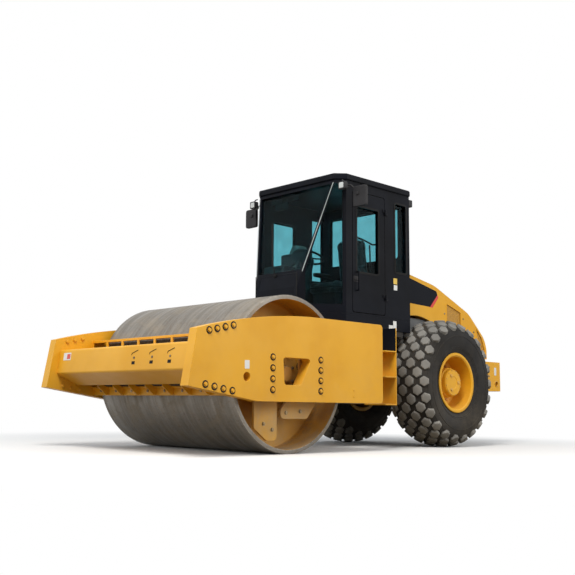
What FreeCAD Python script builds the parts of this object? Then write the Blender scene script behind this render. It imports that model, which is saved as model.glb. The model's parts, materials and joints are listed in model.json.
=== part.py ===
# Single drum vibratory soil roller with an enclosed cab and two rubber tyres.
# Millimetres, X forward, Y to the driver's left, Z up. The origin is on the ground, midway
# along the machine, on its centre line.
import FreeCAD, Part
import math
import os
import types
import Sketcher

Vector = FreeCAD.Vector
document = FreeCAD.newDocument("Roller")

# The driving sizes: name, millimetres, what it measures
sizeTable = (
    ("front_reach", 1405, "drum axis to the front of the yoke"),
    ("rear_reach", 1700, "rear axle to the back of the bumper"),
    ("drum_radius", 775, "outside of the drum"),
    ("drum_half", 1067, "half of the drum's width"),
    ("shell_wall", 40, "drum shell"),
    ("bulkhead_inset", 330, "drum end to its bulkhead"),
    ("bulkhead_wall", 30, "drum bulkhead"),
    ("drum_hub_radius", 150, "bearing hub on the bulkhead"),
    ("drum_hub_length", 130, "bearing hub, out from the bulkhead"),
    ("seat_gap", 0.3, "between pieces of two bodies that nearly touch"),
    ("shaft_gap", 0.08, "round a shaft in its bore"),
    ("plate_wall", 110, "yoke side plate"),
    ("plate_gap", 53, "drum's end to the side plate"),
    ("plate_top", 1332, "top of the side plate, over the ground"),
    ("plate_bottom", 500, "bottom of the side plate"),
    ("plate_rear", 1250, "drum axis back to the rear of the side plate"),
    ("plate_crown", 6140, "radius of the side plate's falling top edge"),
    ("plate_crown_start", 250, "drum axis back to where the top edge starts to fall"),
    ("plate_tip_x", 1312, "upper front corner of the side plate"),
    ("plate_tip_z", 1130, "upper front corner of the side plate"),
    ("plate_nose_z", 622, "lower front corner of the side plate"),
    ("plate_knee_x", 582, "where the bottom edge starts to rise"),
    ("plate_corner", 40, "corner radius of the side plate"),
    ("window_low", 660, "side plate's window, lower edge"),
    ("window_high", 918, "side plate's window, upper edge"),
    ("window_low_rear", 8, "drum axis to the window's lower rear corner"),
    ("window_low_front", 228, "drum axis to the window's lower front corner"),
    ("window_high_rear", -143, "drum axis to the window's upper rear corner"),
    ("window_high_front", 248, "drum axis to the window's upper front corner"),
    ("window_corner", 30, "corner radius of the side plate's window"),
    ("lift_hole_radius", 42, "round hole in the side plate"),
    ("lift_hole_x", 717, "drum axis to the round hole"),
    ("lift_hole_z", 720, "height of the round hole"),
    ("beam_top", 1022, "top of the front beam"),
    ("beam_face_top_x", 1258, "front beam, top of its face"),
    ("beam_face_low_x", 1292, "front beam, foot of its face"),
    ("beam_face_low_z", 767, "front beam, foot of its face"),
    ("beam_keel_x", 1036, "front beam, rear of its sloping underside"),
    ("beam_keel_z", 650, "front beam, rear of its sloping underside"),
    ("beam_back_x", 960, "rear face of the front beam"),
    ("beam_corner", 28, "rounding of the front beam"),
    ("scraper_x", 840, "drum axis to the front scraper rail"),
    ("scraper_low", 985, "foot of the front scraper rail"),
    ("scraper_high", 1140, "top of the front scraper rail"),
    ("scraper_wall", 14, "scraper plate"),
    ("blade_tip_x", 702, "drum axis to the edge of the front blade"),
    ("rear_blade_tip_x", 720, "drum axis back to the edge of the rear blade"),
    ("slot_count", 8, "slots in the scraper rail"),
    ("slot_bar", 32, "between two slots"),
    ("slot_low", 1062, "lower edge of the slots"),
    ("slot_high", 1114, "upper edge of the slots"),
    ("toe_low", 548, "foot of the lower scraper"),
    ("toe_high", 640, "top of the lower scraper"),
    ("toe_x", 800, "drum axis to the lower scraper"),
    ("rear_beam_front", 850, "drum axis back to the rear cross beam"),
    ("rear_beam_back", 980, "drum axis back to the rear face of the cross beam"),
    ("rear_beam_low", 560, "underside of the rear cross beam"),
    ("rear_beam_high", 1100, "top of the rear cross beam"),
    ("pivot_back", 1490, "drum axis back to the articulation pin"),
    ("pivot_reach", 1490, "rear axle to the articulation pin"),
    ("swivel_height", 780, "height of the oscillation axis"),
    ("swivel_radius", 200, "oscillation bearing housing"),
    ("swivel_length", 190, "oscillation bearing housing, along its axis"),
    ("swivel_flange", 230, "flange on the rear cross beam"),
    ("flange_wall", 20, "flange on the rear cross beam"),
    ("swivel_shaft", 85, "oscillation shaft"),
    ("swivel_shaft_length", 120, "oscillation shaft, past its flange"),
    ("hitch_radius", 125, "articulation barrel"),
    ("hitch_low", 545, "foot of the articulation barrel"),
    ("hitch_high", 1015, "head of the articulation barrel"),
    ("hitch_pin", 45, "articulation pin"),
    ("hitch_web_low", 600, "underside of the hitch's web"),
    ("hitch_web_high", 960, "top of the hitch's web"),
    ("fork_wall", 45, "fork plate above and below the hitch"),
    ("fork_nose", 140, "articulation pin to the front of the fork"),
    ("fork_throat", 190, "articulation pin back to the frame's side plates"),
    ("lug_arm", 230, "centre line to a steering cylinder"),
    ("lug_eye", 48, "round a steering pin"),
    ("lug_wall", 40, "steering lug"),
    ("cylinder_reach", 600, "between a steering cylinder's two pins, straight ahead"),
    ("barrel_radius", 45, "steering cylinder's barrel"),
    ("barrel_length", 400, "steering cylinder's barrel, from its pin"),
    ("barrel_blind", 30, "steering cylinder's closed end, from its pin"),
    ("rod_radius", 22, "steering cylinder's rod"),
    ("cylinder_pin", 16, "pin through a steering cylinder's closed end"),
    ("rod_length", 388, "steering cylinder's rod, from its pin"),
    ("frame_half", 400, "half of the rear frame's width"),
    ("frame_wall", 50, "rear frame's side plate"),
    ("frame_low", 500, "underside of the rear frame"),
    ("frame_rear", 1500, "rear axle back to the end of the frame"),
    ("frame_tail_low", 700, "underside of the frame's tail"),
    ("frame_tail", 950, "rear axle back to where the tail rises"),
    ("bay_rear", 1450, "rear axle back to the rear of the engine bay"),
    ("bracket_depth", 250, "steering cylinder's pin back to the wall behind it"),
    ("bulwark_wall", 80, "wall between the steering cylinders and the engine"),
    ("platform_top", 1350, "top of the cab platform"),
    ("platform_wall", 60, "cab platform"),
    ("platform_half", 690, "half of the platform's width"),
    ("axle_height", 770, "rear axle over the ground, the loaded radius of a tyre"),
    ("axle_tube", 110, "rear axle housing"),
    ("axle_bulge", 195, "differential housing"),
    ("axle_bulge_half", 170, "half of the differential housing's width"),
    ("axle_flange", 150, "hub flange on the axle"),
    ("axle_flange_wall", 60, "hub flange on the axle"),
    ("track_half", 740, "centre line to the middle of a tyre"),
    ("tyre_half", 293, "half of a tyre's width"),
    ("tyre_shoulder", 60, "tyre's shoulder, in from its widest"),
    ("rim_radius", 335, "rim barrel"),
    ("rim_lip", 362, "rim flange"),
    ("rim_half", 250, "half of the rim's width"),
    ("rim_wall", 20, "rim and wheel disc"),
    ("hub_radius", 182, "planetary hub"),
    ("hub_proud", 200, "middle of the tyre to the face of the hub"),
    ("disc_inset", 20, "middle of the tyre back to the wheel disc"),
    ("bumper_half", 600, "half of the bumper's width"),
    ("bumper_front", 1180, "rear axle back to the bumper's wings"),
    ("bumper_low", 700, "underside of the bumper"),
    ("bumper_high", 1092, "top of the bumper"),
    ("bumper_chamfer", 90, "rear corner of the bumper"),
    ("eye_radius", 32, "tie-down eye"),
    ("eye_depth", 120, "tie-down eye, into the bumper"),
    ("eye_x", 1515, "rear axle back to the tie-down eye"),
    ("eye_z", 798, "height of the tie-down eye"),
    ("engine_gap", 230, "engine to the wall in front of it"),
    ("engine_rear", 1000, "rear axle back to the rear of the engine"),
    ("engine_low", 990, "underside of the engine"),
    ("engine_high", 1600, "top of the engine"),
    ("cab_half", 700, "half of the cab's width"),
    ("cab_rear", 530, "rear axle to the back of the cab"),
    ("cab_post_x", 1705, "rear axle to the cab's front side post"),
    ("cab_nose_x", 2120, "rear axle to the front of the cab"),
    ("cab_nose_half", 330, "half of the cab's front panel"),
    ("cab_kink_z", 1790, "where the windscreen's slope starts"),
    ("cab_brow_x", 1805, "rear axle to the windscreen's top edge"),
    ("cab_brow_half", 611, "half of the windscreen's top edge"),
    ("cab_floor", 1500, "top of the cab's base"),
    ("cab_eaves", 3030, "underside of the roof"),
    ("cab_wall", 55, "cab's posts and panels"),
    ("cab_corner", 30, "corner radius of a cab opening"),
    ("glass_edge", 25, "between two panes at the windscreen's side"),
    ("roof_wall", 75, "roof"),
    ("roof_brim", 20, "roof past the walls"),
    ("roof_round", 25, "rounding of the roof's top edge"),
    ("sill_high", 1985, "lower edge of the side windows"),
    ("head_drop", 270, "eaves down to the side windows"),
    ("screen_low", 1990, "lower edge of the windscreen"),
    ("screen_drop", 45, "eaves down to the windscreen"),
    ("screen_low_half", 350, "half of the windscreen's lower edge"),
    ("screen_high_half", 575, "half of the windscreen's upper edge"),
    ("glass_low", 1600, "lower edge of the corner glass"),
    ("glass_post", 40, "side post to the corner glass"),
    ("glass_nose", 460, "side post to the corner glass's front edge"),
    ("glass_brow", 135, "side post to the corner glass's upper front corner"),
    ("glass_wall", 10, "glass"),
    ("panel_low", 1530, "foot of the cab's front panel"),
    ("panel_high", 1960, "top of the cab's front panel"),
    ("panel_half", 290, "half of the cab's front panel"),
    ("door_front", 1600, "rear axle to the door's front edge"),
    ("door_rear", 1005, "rear axle to the door's hinged edge"),
    ("door_low", 1520, "bottom of the door opening"),
    ("door_drop", 100, "eaves down to the door opening"),
    ("door_gap", 8, "round the door"),
    ("side_window_rear", 1120, "rear axle to the rear edge of the side windows"),
    ("door_frame", 75, "door's frame round its window"),
    ("hinge_radius", 12, "knuckle of a door or hood hinge"),
    ("hinge_pin", 7, "pin of a door or hood hinge"),
    ("hinge_knuckle", 34, "each half of a hinge, along its pin"),
    ("hinge_leaf", 44, "leaf of a door hinge"),
    ("hinge_low", 1700, "lower door hinge"),
    ("hinge_drop", 310, "eaves down to the upper door hinge"),
    ("hood_hinge_drop", 22, "cab's rear wall back to the hood's hinge"),
    ("hood_hinge_z", 2223, "height of the hood's hinge"),
    ("hood_hinge_y", 250, "centre line to the hood's hinges"),
    ("quarter_front", 820, "rear axle to the quarter window"),
    ("quarter_rear", 590, "rear axle to the quarter window's rear edge"),
    ("quarter_low", 2055, "lower edge of the quarter window"),
    ("quarter_drop", 125, "eaves down to the quarter window"),
    ("rear_window_half", 560, "half of the rear window's width"),
    ("rear_window_low", 2275, "lower edge of the rear window"),
    ("hood_gap", 15, "between the cab and the hood"),
    ("hood_half", 400, "half of the hood's width"),
    ("hood_wall", 35, "hood"),
    ("hood_front_top", 2205, "top of the hood beside the cab"),
    ("skirt_drop", 14, "top of the wheel arch down to the hood's lower edge"),
    ("hood_tail_low", 1142, "lower edge of the hood at the rear"),
    ("hood_tail_x", 1610, "rear axle back to the rear of the hood"),
    ("hood_brow_x", 400, "rear axle back to the first bend of the hood's top"),
    ("hood_brow_z", 2050, "first bend of the hood's top"),
    ("hood_hip_x", 1180, "rear axle back to the second bend"),
    ("hood_hip_z", 1742, "second bend of the hood's top"),
    ("hood_shoulder_x", 1560, "rear axle back to the third bend"),
    ("hood_shoulder_z", 1420, "third bend of the hood's top"),
    ("hood_heel_z", 1270, "last bend, at the top of the hood's rear face"),
    ("hood_bend", 900, "radius of the first two bends"),
    ("arch_gap", 86, "between a tyre and the hood's wheel arch"),
    ("vent_front_x", 668, "rear axle back to the first side vent"),
    ("vent_rear_x", 993, "rear axle back to the first vent's rear edge"),
    ("vent_top_z", 1840, "top of the first vent at its front"),
    ("vent_fall", 98, "fall of the first vent's top edge"),
    ("vent_foot_z", 1440, "foot of the first vent at its front"),
    ("vent_toe_x", 835, "rear axle back to where the vent's foot meets the wheel arch"),
    ("vent_toe_z", 1230, "foot of the first vent at its rear"),
    ("tail_vent_front_x", 1345, "rear axle back to the upper corner of the second vent"),
    ("tail_vent_top_z", 1580, "upper corner of the second vent"),
    ("tail_vent_bend_x", 1500, "rear axle back to the bend in the second vent's rear edge"),
    ("tail_vent_bend_z", 1420, "bend in the second vent's rear edge"),
    ("tail_vent_rear_x", 1565, "rear axle back to the second vent's rear edge"),
    ("tail_vent_toe_x", 1440, "rear axle back to the lower front corner of the second vent"),
    ("tail_vent_low_z", 1200, "lower edge of the second vent"),
    ("grille_front_x", 1260, "rear axle back to the front of the rear grille"),
    ("grille_rear_x", 1490, "rear axle back to the rear of the rear grille"),
    ("tail_vent_half", 290, "half of the rear grille"),
    ("louvre_wall", 10, "louvre"),
    ("louvre_count", 6, "louvres in a side vent"),
    ("grab_x", 75, "door's front edge back to its grab bar"),
    ("grab_z", 1765, "foot of the grab bar"),
    ("grab_long", 230, "grab bar"),
    ("grab_reach", 45, "door to the outside of the grab bar"),
    ("grab_wall", 18, "grab bar"),
    ("seat_x", 590, "cab's rear wall to the middle of the seat"),
    ("seat_post_half", 190, "half of the seat's base"),
    ("seat_high", 330, "cab's floor to the cushion"),
    ("cushion_half", 245, "half of the cushion's width"),
    ("cushion_wall", 110, "cushion"),
    ("cushion_corner", 60, "corner radius of the cushion"),
    ("back_half", 220, "half of the backrest's width"),
    ("back_wall", 120, "backrest at its foot"),
    ("back_high", 720, "cushion's foot to the top of the backrest"),
    ("back_lean", 90, "backrest's lean"),
    ("back_corner", 40, "rounding of the backrest's top"),
    ("wheel_radius", 185, "steering wheel"),
    ("wheel_tube", 14, "steering wheel's rim"),
    ("wheel_hub", 45, "steering wheel's hub"),
    ("wheel_hub_wall", 30, "steering wheel's hub"),
    ("spoke_radius", 9, "steering wheel's spoke"),
    ("column_half", 65, "half of the steering column's width"),
    ("column_foot", 180, "steering column at the floor, front to rear"),
    ("column_foot_x", 1190, "cab's rear wall to the foot of the column"),
    ("column_head_x", 1010, "cab's rear wall to the head of the column"),
    ("column_head", 74, "steering column at its head, front to rear"),
    ("column_head_z", 693, "cab's floor to the rear of the column's head"),
    ("column_head_rise", 25.3, "slope of the column's head"),
    ("dash_x", 970, "cab's rear wall to the dash console"),
    ("dash_long", 350, "dash console, front to rear"),
    ("dash_inner", 160, "centre line to the dash console"),
    ("dash_wide", 340, "dash console"),
    ("dash_high", 620, "dash console"),
    ("console_corner", 50, "corner radius of a console"),
    ("side_x", 270, "cab's rear wall to the side console"),
    ("side_long", 550, "side console, front to rear"),
    ("side_inner", 330, "centre line to the side console"),
    ("side_wide", 230, "side console"),
    ("side_high", 520, "side console"),
    ("mirror_back", 25, "front side post back to a mirror"),
    ("mirror_reach", 190, "cab's side to the middle of a mirror"),
    ("mirror_drop", 218, "eaves down to the middle of a mirror"),
    ("mirror_half_wide", 95, "half of a mirror's width"),
    ("mirror_half_high", 118, "half of a mirror's height"),
    ("mirror_wall", 45, "mirror's housing"),
    ("mirror_arm_low", 70, "middle of a mirror to the foot of its arm"),
    ("mirror_arm", 20, "mirror's arm"),
    ("lamp_half", 45, "half of a work lamp"),
    ("lamp_long", 75, "work lamp"),
    ("lamp_corner", 12, "rounding of a work lamp"),
    ("lamp_drop", 90, "eaves down to a front work lamp"),
    ("lamp_x", 50, "front side post to a front work lamp"),
    ("lamp_reach", 30, "cab's side to the middle of a front work lamp"),
    ("lamp_bracket", 15, "front work lamp's bracket"),
    ("tail_lamp_drop", 75, "eaves down to a rear work lamp"),
    ("step_back", 105, "articulation pin back to the front of the steps"),
    ("step_run", 205, "steps, front to rear"),
    ("step_inner", 690, "inner side of the steps"),
    ("step_outer", 990, "outer side of the steps"),
    ("step_wall", 14, "steps' plate"),
    ("step_low", 500, "lowest tread"),
    ("step_middle", 805, "middle tread"),
    ("step_high", 1090, "upper tread"),
)

sheet = document.addObject("Spreadsheet::Sheet", "Sizes")
for row, (name, amount, note) in enumerate(sizeTable, start=1):
    sheet.set(f"A{row}", name)
    sheet.set(f"B{row}", str(amount))
    sheet.setAlias(f"B{row}", name)
    sheet.set(f"C{row}", note)
document.recompute()


class Size:
    """A size worked out from the sheet: its number now, and the expression that keeps it."""

    def __init__(self, value, text):
        self.value = value
        self.text = text

    def __add__(self, other):
        other = asSize(other)
        return Size(self.value + other.value, f"({self.text} + {other.text})")

    def __sub__(self, other):
        other = asSize(other)
        return Size(self.value - other.value, f"({self.text} - {other.text})")

    def __mul__(self, other):
        other = asSize(other)
        return Size(self.value * other.value, f"({self.text} * {other.text})")

    def __truediv__(self, other):
        other = asSize(other)
        return Size(self.value / other.value, f"({self.text} / {other.text})")

    def __neg__(self):
        return Size(-self.value, f"(0 - {self.text})")

    def __radd__(self, other):
        return asSize(other) + self

    def __rsub__(self, other):
        return asSize(other) - self

    def __rmul__(self, other):
        return asSize(other) * self


def asSize(quantity):
    """A plain number becomes a size that no cell drives."""
    if isinstance(quantity, Size):
        return quantity
    return Size(float(quantity), f"({float(quantity)!r})")


size = types.SimpleNamespace(**{
    name: Size(float(sheet.get(name)), f"Sizes.{name}") for name, amount, note in sizeTable})

# Places that the pieces share, from the origin or from a body's own origin
wheelbase = size.pivot_back + size.pivot_reach
drumX = (wheelbase + size.rear_reach - size.front_reach) / 2
axleX = drumX - wheelbase
pivotX = drumX - size.pivot_back
barrelX = size.pivot_reach - size.cylinder_reach
forkFront = size.pivot_reach + size.fork_nose
throatFront = size.pivot_reach - size.fork_throat
bulwarkFront = barrelX - size.bracket_depth
bayFront = bulwarkFront - size.bulwark_wall
plateInner = size.drum_half + size.plate_gap
yokeHalf = plateInner + size.plate_wall
frameInner = size.frame_half - size.frame_wall
forkLow = size.hitch_low - size.seat_gap
forkHigh = size.hitch_high + size.seat_gap
stepFront = size.pivot_reach - size.step_back
stepRear = stepFront - size.step_run
hoodFront = size.cab_rear - size.hood_gap
archRadius = size.axle_height + size.arch_gap
hoodSkirt = size.axle_height + archRadius - size.skirt_drop
cabHigh = types.SimpleNamespace(
    head=size.cab_eaves - size.head_drop,
    screen=size.cab_eaves - size.screen_drop,
    door=size.cab_eaves - size.door_drop,
    hinge=size.cab_eaves - size.hinge_drop,
    quarter=size.cab_eaves - size.quarter_drop)
doorHingeX = size.door_rear + size.door_gap / 2
doorHingeY = size.cab_half + size.hinge_radius + 2

nodes = []
cuts = []


def keep(piece):
    """Marks a piece as one of the assembly's nodes."""
    nodes.append(piece)
    return piece


def bind(thing, path, quantity):
    thing.setExpression(path, asSize(quantity).text)


def place(thing, x=0, y=0, z=0):
    for axis, quantity in zip("xyz", (x, y, z)):
        bind(thing, f"Placement.Base.{axis}", quantity)


def newBody(name, x=0, y=0, z=0):
    body = document.addObject("PartDesign::Body", name)
    body.Label = name
    place(body, x, y, z)
    return body


def sketchOn(body, plane, offset):
    sketch = body.newObject("Sketcher::SketchObject", "Sketch")
    origin = [each for each in body.Origin.OriginFeatures if each.Role == plane + "_Plane"][0]
    sketch.AttachmentSupport = (origin, [""])
    sketch.MapMode = "FlatFace"
    bind(sketch, "AttachmentOffset.Base.z", offset)
    return sketch


def planSketch(body, z=0):
    """Seen from above: x forward, y left. A pad from it rises."""
    return sketchOn(body, "XY", z)


def sideSketch(body, y=0):
    """Seen from the right: x forward, z up. A pad from it goes right, towards -Y."""
    return sketchOn(body, "XZ", -asSize(y))


def endSketch(body, x=0):
    """Seen from the front: y left, z up. A pad from it goes forward."""
    return sketchOn(body, "YZ", x)


def pin(sketch, element, position, x, y):
    """Ties a point of the sketch to its two coordinates."""
    for kind, quantity in (("DistanceX", x), ("DistanceY", y)):
        quantity = asSize(quantity)
        index = sketch.addConstraint(
            Sketcher.Constraint(kind, -1, 1, element, position, quantity.value))
        sketch.setExpression(f"Constraints[{index}]", quantity.text)


def radiusOf(sketch, element, radius):
    radius = asSize(radius)
    index = sketch.addConstraint(Sketcher.Constraint("Radius", element, radius.value))
    sketch.setExpression(f"Constraints[{index}]", radius.text)


def profile(sketch, corners, curved=None):
    """A closed outline, counter-clockwise, through corners (x, y) or (x, y, rounding).

    curved gives, for a corner's number, the radius of an outward arc from it to the next.
    """
    curved = curved or {}
    count = len(corners)
    points = [Vector(asSize(each[0]).value, asSize(each[1]).value, 0) for each in corners]
    rounding = [asSize(each[2]) if len(each) > 2 else None for each in corners]
    arrive, leave, middle = [], [], []
    for index, here in enumerate(points):
        before = (points[index - 1] - here).normalize()
        after = (points[(index + 1) % count] - here).normalize()
        half = before.getAngle(after) / 2
        radius = rounding[index].value if rounding[index] else 0
        arrive.append(here + before * (radius / math.tan(half)))
        leave.append(here + after * (radius / math.tan(half)))
        inward = (before + after).normalize() if radius else Vector()
        middle.append(here + inward * (radius / math.sin(half) - radius))
    sides = []
    for index in range(count):
        start, end = leave[index], arrive[(index + 1) % count]
        if index in curved:
            radius = asSize(curved[index]).value
            chord = end - start
            sagitta = radius - math.sqrt(radius ** 2 - (chord.Length / 2) ** 2)
            outward = Vector(chord.y, -chord.x, 0).normalize()
            through = (start + end) * 0.5 + outward * sagitta
            sides.append(sketch.addGeometry(Part.Arc(start, through, end), False))
            radiusOf(sketch, sides[-1], curved[index])
        else:
            sides.append(sketch.addGeometry(Part.LineSegment(start, end), False))
    for index, here in enumerate(points):
        sideIn, sideOut = sides[index - 1], sides[index]
        x, y = corners[index][:2]
        if not rounding[index]:
            sketch.addConstraint(Sketcher.Constraint("Coincident", sideIn, 2, sideOut, 1))
            pin(sketch, sideOut, 1, x, y)
            continue
        arc = sketch.addGeometry(Part.Arc(arrive[index], middle[index], leave[index]), False)
        corner = sketch.addGeometry(Part.Point(here), True)
        pin(sketch, corner, 1, x, y)
        sketch.addConstraint(Sketcher.Constraint("PointOnObject", corner, 1, sideIn))
        sketch.addConstraint(Sketcher.Constraint("PointOnObject", corner, 1, sideOut))
        turn = (here - arrive[index]).cross(leave[index] - here).z
        first, last = (1, 2) if turn > 0 else (2, 1)
        sketch.addConstraint(Sketcher.Constraint("Tangent", sideIn, 2, arc, first))
        sketch.addConstraint(Sketcher.Constraint("Tangent", arc, last, sideOut, 1))
        radiusOf(sketch, arc, rounding[index])
    return sketch


def rectangle(sketch, left, right, low, high, corner=None):
    corners = [(left, low), (right, low), (right, high), (left, high)]
    if corner is not None:
        corners = [each + (corner,) for each in corners]
    return profile(sketch, corners)


def disc(sketch, x, y, radius):
    centre = Vector(asSize(x).value, asSize(y).value, 0)
    circle = sketch.addGeometry(
        Part.Circle(centre, Vector(0, 0, 1), asSize(radius).value), False)
    pin(sketch, circle, 3, x, y)
    radiusOf(sketch, circle, radius)
    return sketch


def pad(body, sketch, length, both=False, back=False):
    feature = body.newObject("PartDesign::Pad", "Pad")
    feature.Profile = sketch
    feature.SideType = "Symmetric" if both else "One side"
    feature.Reversed = back
    bind(feature, "Length", length)
    return feature


def cut(body, sketch, length=None, both=False, back=False):
    """Cuts through all, both ways, or to a length: against the way that a pad would go."""
    feature = body.newObject("PartDesign::Pocket", "Pocket")
    feature.Profile = sketch
    if length is None:
        feature.Type = "ThroughAll"
        feature.SideType = "Symmetric"
    else:
        feature.SideType = "Symmetric" if both else "One side"
        feature.Reversed = back
        bind(feature, "Length", length)
    cuts.append(feature)
    return feature


def turned(body, sketch, axis="H_Axis"):
    """Revolves a profile once round a sketch's own axis."""
    feature = body.newObject("PartDesign::Revolution", "Revolution")
    feature.Profile = sketch
    feature.ReferenceAxis = (sketch, [axis])
    feature.Angle = 360
    return feature


def roundEdges(body, feature, radius, chosen):
    """Rounds the edges of a feature that a test picks."""
    document.recompute()
    edges = [
        f"Edge{number}" for number, edge in enumerate(feature.Shape.Edges, start=1)
        if chosen(edge)]
    fillet = body.newObject("PartDesign::Fillet", "Fillet")
    fillet.Base = (feature, edges)
    bind(fillet, "Radius", radius)
    return fillet


def hollowOut(body, feature, wall, chosen):
    """Leaves only a wall, open at the faces of the feature that a test picks."""
    document.recompute()
    faces = [
        f"Face{number}" for number, face in enumerate(feature.Shape.Faces, start=1)
        if chosen(face)]
    walls = body.newObject("PartDesign::Thickness", "Walls")
    walls.Base = (feature, faces)
    walls.Reversed = True
    walls.Join = 1
    bind(walls, "Value", wall)
    cuts.append(walls)
    return walls


def atHeight(z):
    level = asSize(z).value
    return lambda edge: all(abs(vertex.Point.z - level) < 0.01 for vertex in edge.Vertexes)


def gathered(name, pieces):
    """One node of several solids that don't touch."""
    compound = document.addObject("Part::Compound", name)
    compound.Label = name
    compound.Links = pieces
    return keep(compound)


def cylinder(name, radius, height):
    piece = document.addObject("Part::Cylinder", name)
    bind(piece, "Radius", radius)
    bind(piece, "Height", height)
    return piece


# Drum and yoke

def drumShell():
    """Shell, two bulkheads set back from its ends, and a bearing hub on each."""
    body = newBody("drum_shell", drumX, 0, size.drum_radius)
    inner = size.drum_radius - size.shell_wall
    face = size.drum_half - size.bulkhead_inset
    hubEnd = face + size.drum_hub_length
    back = face - size.bulkhead_wall
    turned(body, profile(endSketch(body), [
        (-hubEnd, 0), (hubEnd, 0), (hubEnd, size.drum_hub_radius),
        (face, size.drum_hub_radius), (face, inner), (size.drum_half, inner),
        (size.drum_half, size.drum_radius), (-size.drum_half, size.drum_radius),
        (-size.drum_half, inner), (-face, inner), (-face, size.drum_hub_radius),
        (-hubEnd, size.drum_hub_radius)]))
    hollow = body.newObject("PartDesign::Groove", "Hollow")
    hollow.Profile = profile(endSketch(body), [
        (-back, size.drum_hub_radius), (back, size.drum_hub_radius), (back, inner),
        (-back, inner)])
    hollow.ReferenceAxis = (hollow.Profile[0], ["H_Axis"])
    hollow.Angle = 360
    cuts.append(hollow)
    return keep(body)


def yokePlate(name, outer):
    """Side plate with its falling top edge, window and lifting hole. outer is its left face."""
    body = newBody(name, drumX)
    pad(body, profile(sideSketch(body, outer), [
        (-size.plate_rear, size.plate_bottom, size.plate_corner),
        (size.plate_knee_x, size.plate_bottom),
        (size.front_reach, size.plate_nose_z),
        (size.plate_tip_x, size.plate_tip_z),
        (-size.plate_crown_start, size.plate_top),
        (-size.plate_rear, size.plate_top, size.plate_corner)],
        curved={3: size.plate_crown}), size.plate_wall)
    cut(body, profile(sideSketch(body), [
        (size.window_low_rear, size.window_low, size.window_corner),
        (size.window_low_front, size.window_low, size.window_corner),
        (size.window_high_front, size.window_high, size.window_corner),
        (size.window_high_rear, size.window_high, size.window_corner)]))
    cut(body, disc(sideSketch(body), size.lift_hole_x, size.lift_hole_z, size.lift_hole_radius))
    return keep(body)


def frontBeam():
    body = newBody("front_beam", drumX)
    pad(body, profile(sideSketch(body), [
        (size.beam_back_x, size.beam_top),
        (size.beam_back_x, size.beam_keel_z + size.plate_corner),
        (size.beam_keel_x, size.beam_keel_z),
        (size.beam_face_low_x, size.beam_face_low_z, size.beam_corner),
        (size.beam_face_top_x, size.beam_top, size.beam_corner)]), plateInner * 2, both=True)
    return keep(body)


def frontScraper():
    """Slotted rail with its blade on the front beam, and a plain one below between the plates."""
    rail = newBody("scraper_rail", drumX)
    wall = size.scraper_wall
    pad(rail, profile(sideSketch(rail), [
        (size.scraper_x, size.scraper_low),
        (size.beam_back_x, size.scraper_low),
        (size.beam_back_x, size.scraper_low + wall),
        (size.scraper_x + wall, size.scraper_low + wall),
        (size.scraper_x + wall, size.scraper_high),
        (size.blade_tip_x, size.scraper_high),
        (size.blade_tip_x, size.scraper_high - wall),
        (size.scraper_x, size.scraper_high - wall)]), plateInner * 2, both=True)
    slots = endSketch(rail, size.scraper_x + wall)
    pitch = plateInner * 2 / size.slot_count
    for number in range(int(size.slot_count.value)):
        left = pitch * number - plateInner
        rectangle(slots, left + size.slot_bar / 2, left + pitch - size.slot_bar / 2,
                  size.slot_low, size.slot_high)
    cut(rail, slots, wall)
    toe = newBody("scraper_toe", drumX)
    pad(toe, profile(sideSketch(toe), [
        (size.toe_x, size.toe_low),
        (size.toe_x + wall, size.toe_low),
        (size.toe_x + wall, size.toe_high - wall),
        (size.toe_x + size.slot_high - size.slot_low, size.toe_high - wall),
        (size.toe_x + size.slot_high - size.slot_low, size.toe_high),
        (size.toe_x, size.toe_high)]), plateInner * 2, both=True)
    return gathered("scraper_front", [rail, toe])


def rearBeam():
    """Cross beam behind the drum, with the flange and shaft on which the yoke swivels."""
    body = newBody("rear_beam", drumX)
    back = -size.rear_beam_back
    pad(body, profile(sideSketch(body), [
        (back, size.rear_beam_low, size.plate_corner),
        (-size.rear_beam_front, size.rear_beam_low, size.plate_corner),
        (-size.rear_beam_front, size.rear_beam_high, size.plate_corner),
        (back, size.rear_beam_high, size.plate_corner)]), plateInner * 2, both=True)
    pad(body, disc(endSketch(body, back), 0, size.swivel_height, size.swivel_flange),
        size.flange_wall, back=True)
    pad(body, disc(endSketch(body, back - size.flange_wall), 0, size.swivel_height,
                   size.swivel_shaft), size.swivel_shaft_length, back=True)
    return keep(body)


def rearScraper():
    """Blade behind the drum, on the cross beam's top."""
    body = newBody("scraper_rear", drumX)
    wall = size.scraper_wall
    foot = size.rear_beam_high
    pad(body, profile(sideSketch(body), [
        (-size.rear_beam_back, foot),
        (-size.rear_beam_front, foot),
        (-size.rear_blade_tip_x, foot),
        (-size.rear_blade_tip_x, foot + wall),
        (-size.rear_beam_back, foot + wall)]), plateInner * 2, both=True)
    return keep(body)


def drumMount(name, side):
    """Carrier between a side plate and the drum's hub: a bracket box, a plate and six mounts."""
    body = newBody(name, drumX)
    hubFace = size.drum_half - size.bulkhead_inset + size.drum_hub_length + size.seat_gap
    carrierWall = size.bulkhead_wall
    carrier = hubFace + carrierWall
    low, high = size.drum_radius - 190, size.drum_radius + 190
    if side > 0:
        pad(body, disc(sideSketch(body, carrier), 0, size.drum_radius, 300), carrierWall)
        pad(body, rectangle(sideSketch(body, plateInner), -260, 330, low, high,
                            size.plate_corner), plateInner - carrier)
    else:
        pad(body, disc(sideSketch(body, -hubFace), 0, size.drum_radius, 300), carrierWall)
        pad(body, rectangle(sideSketch(body, -carrier), -260, 330, low, high,
                            size.plate_corner), plateInner - carrier)
    return keep(body)


# Hitch and steering

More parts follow.
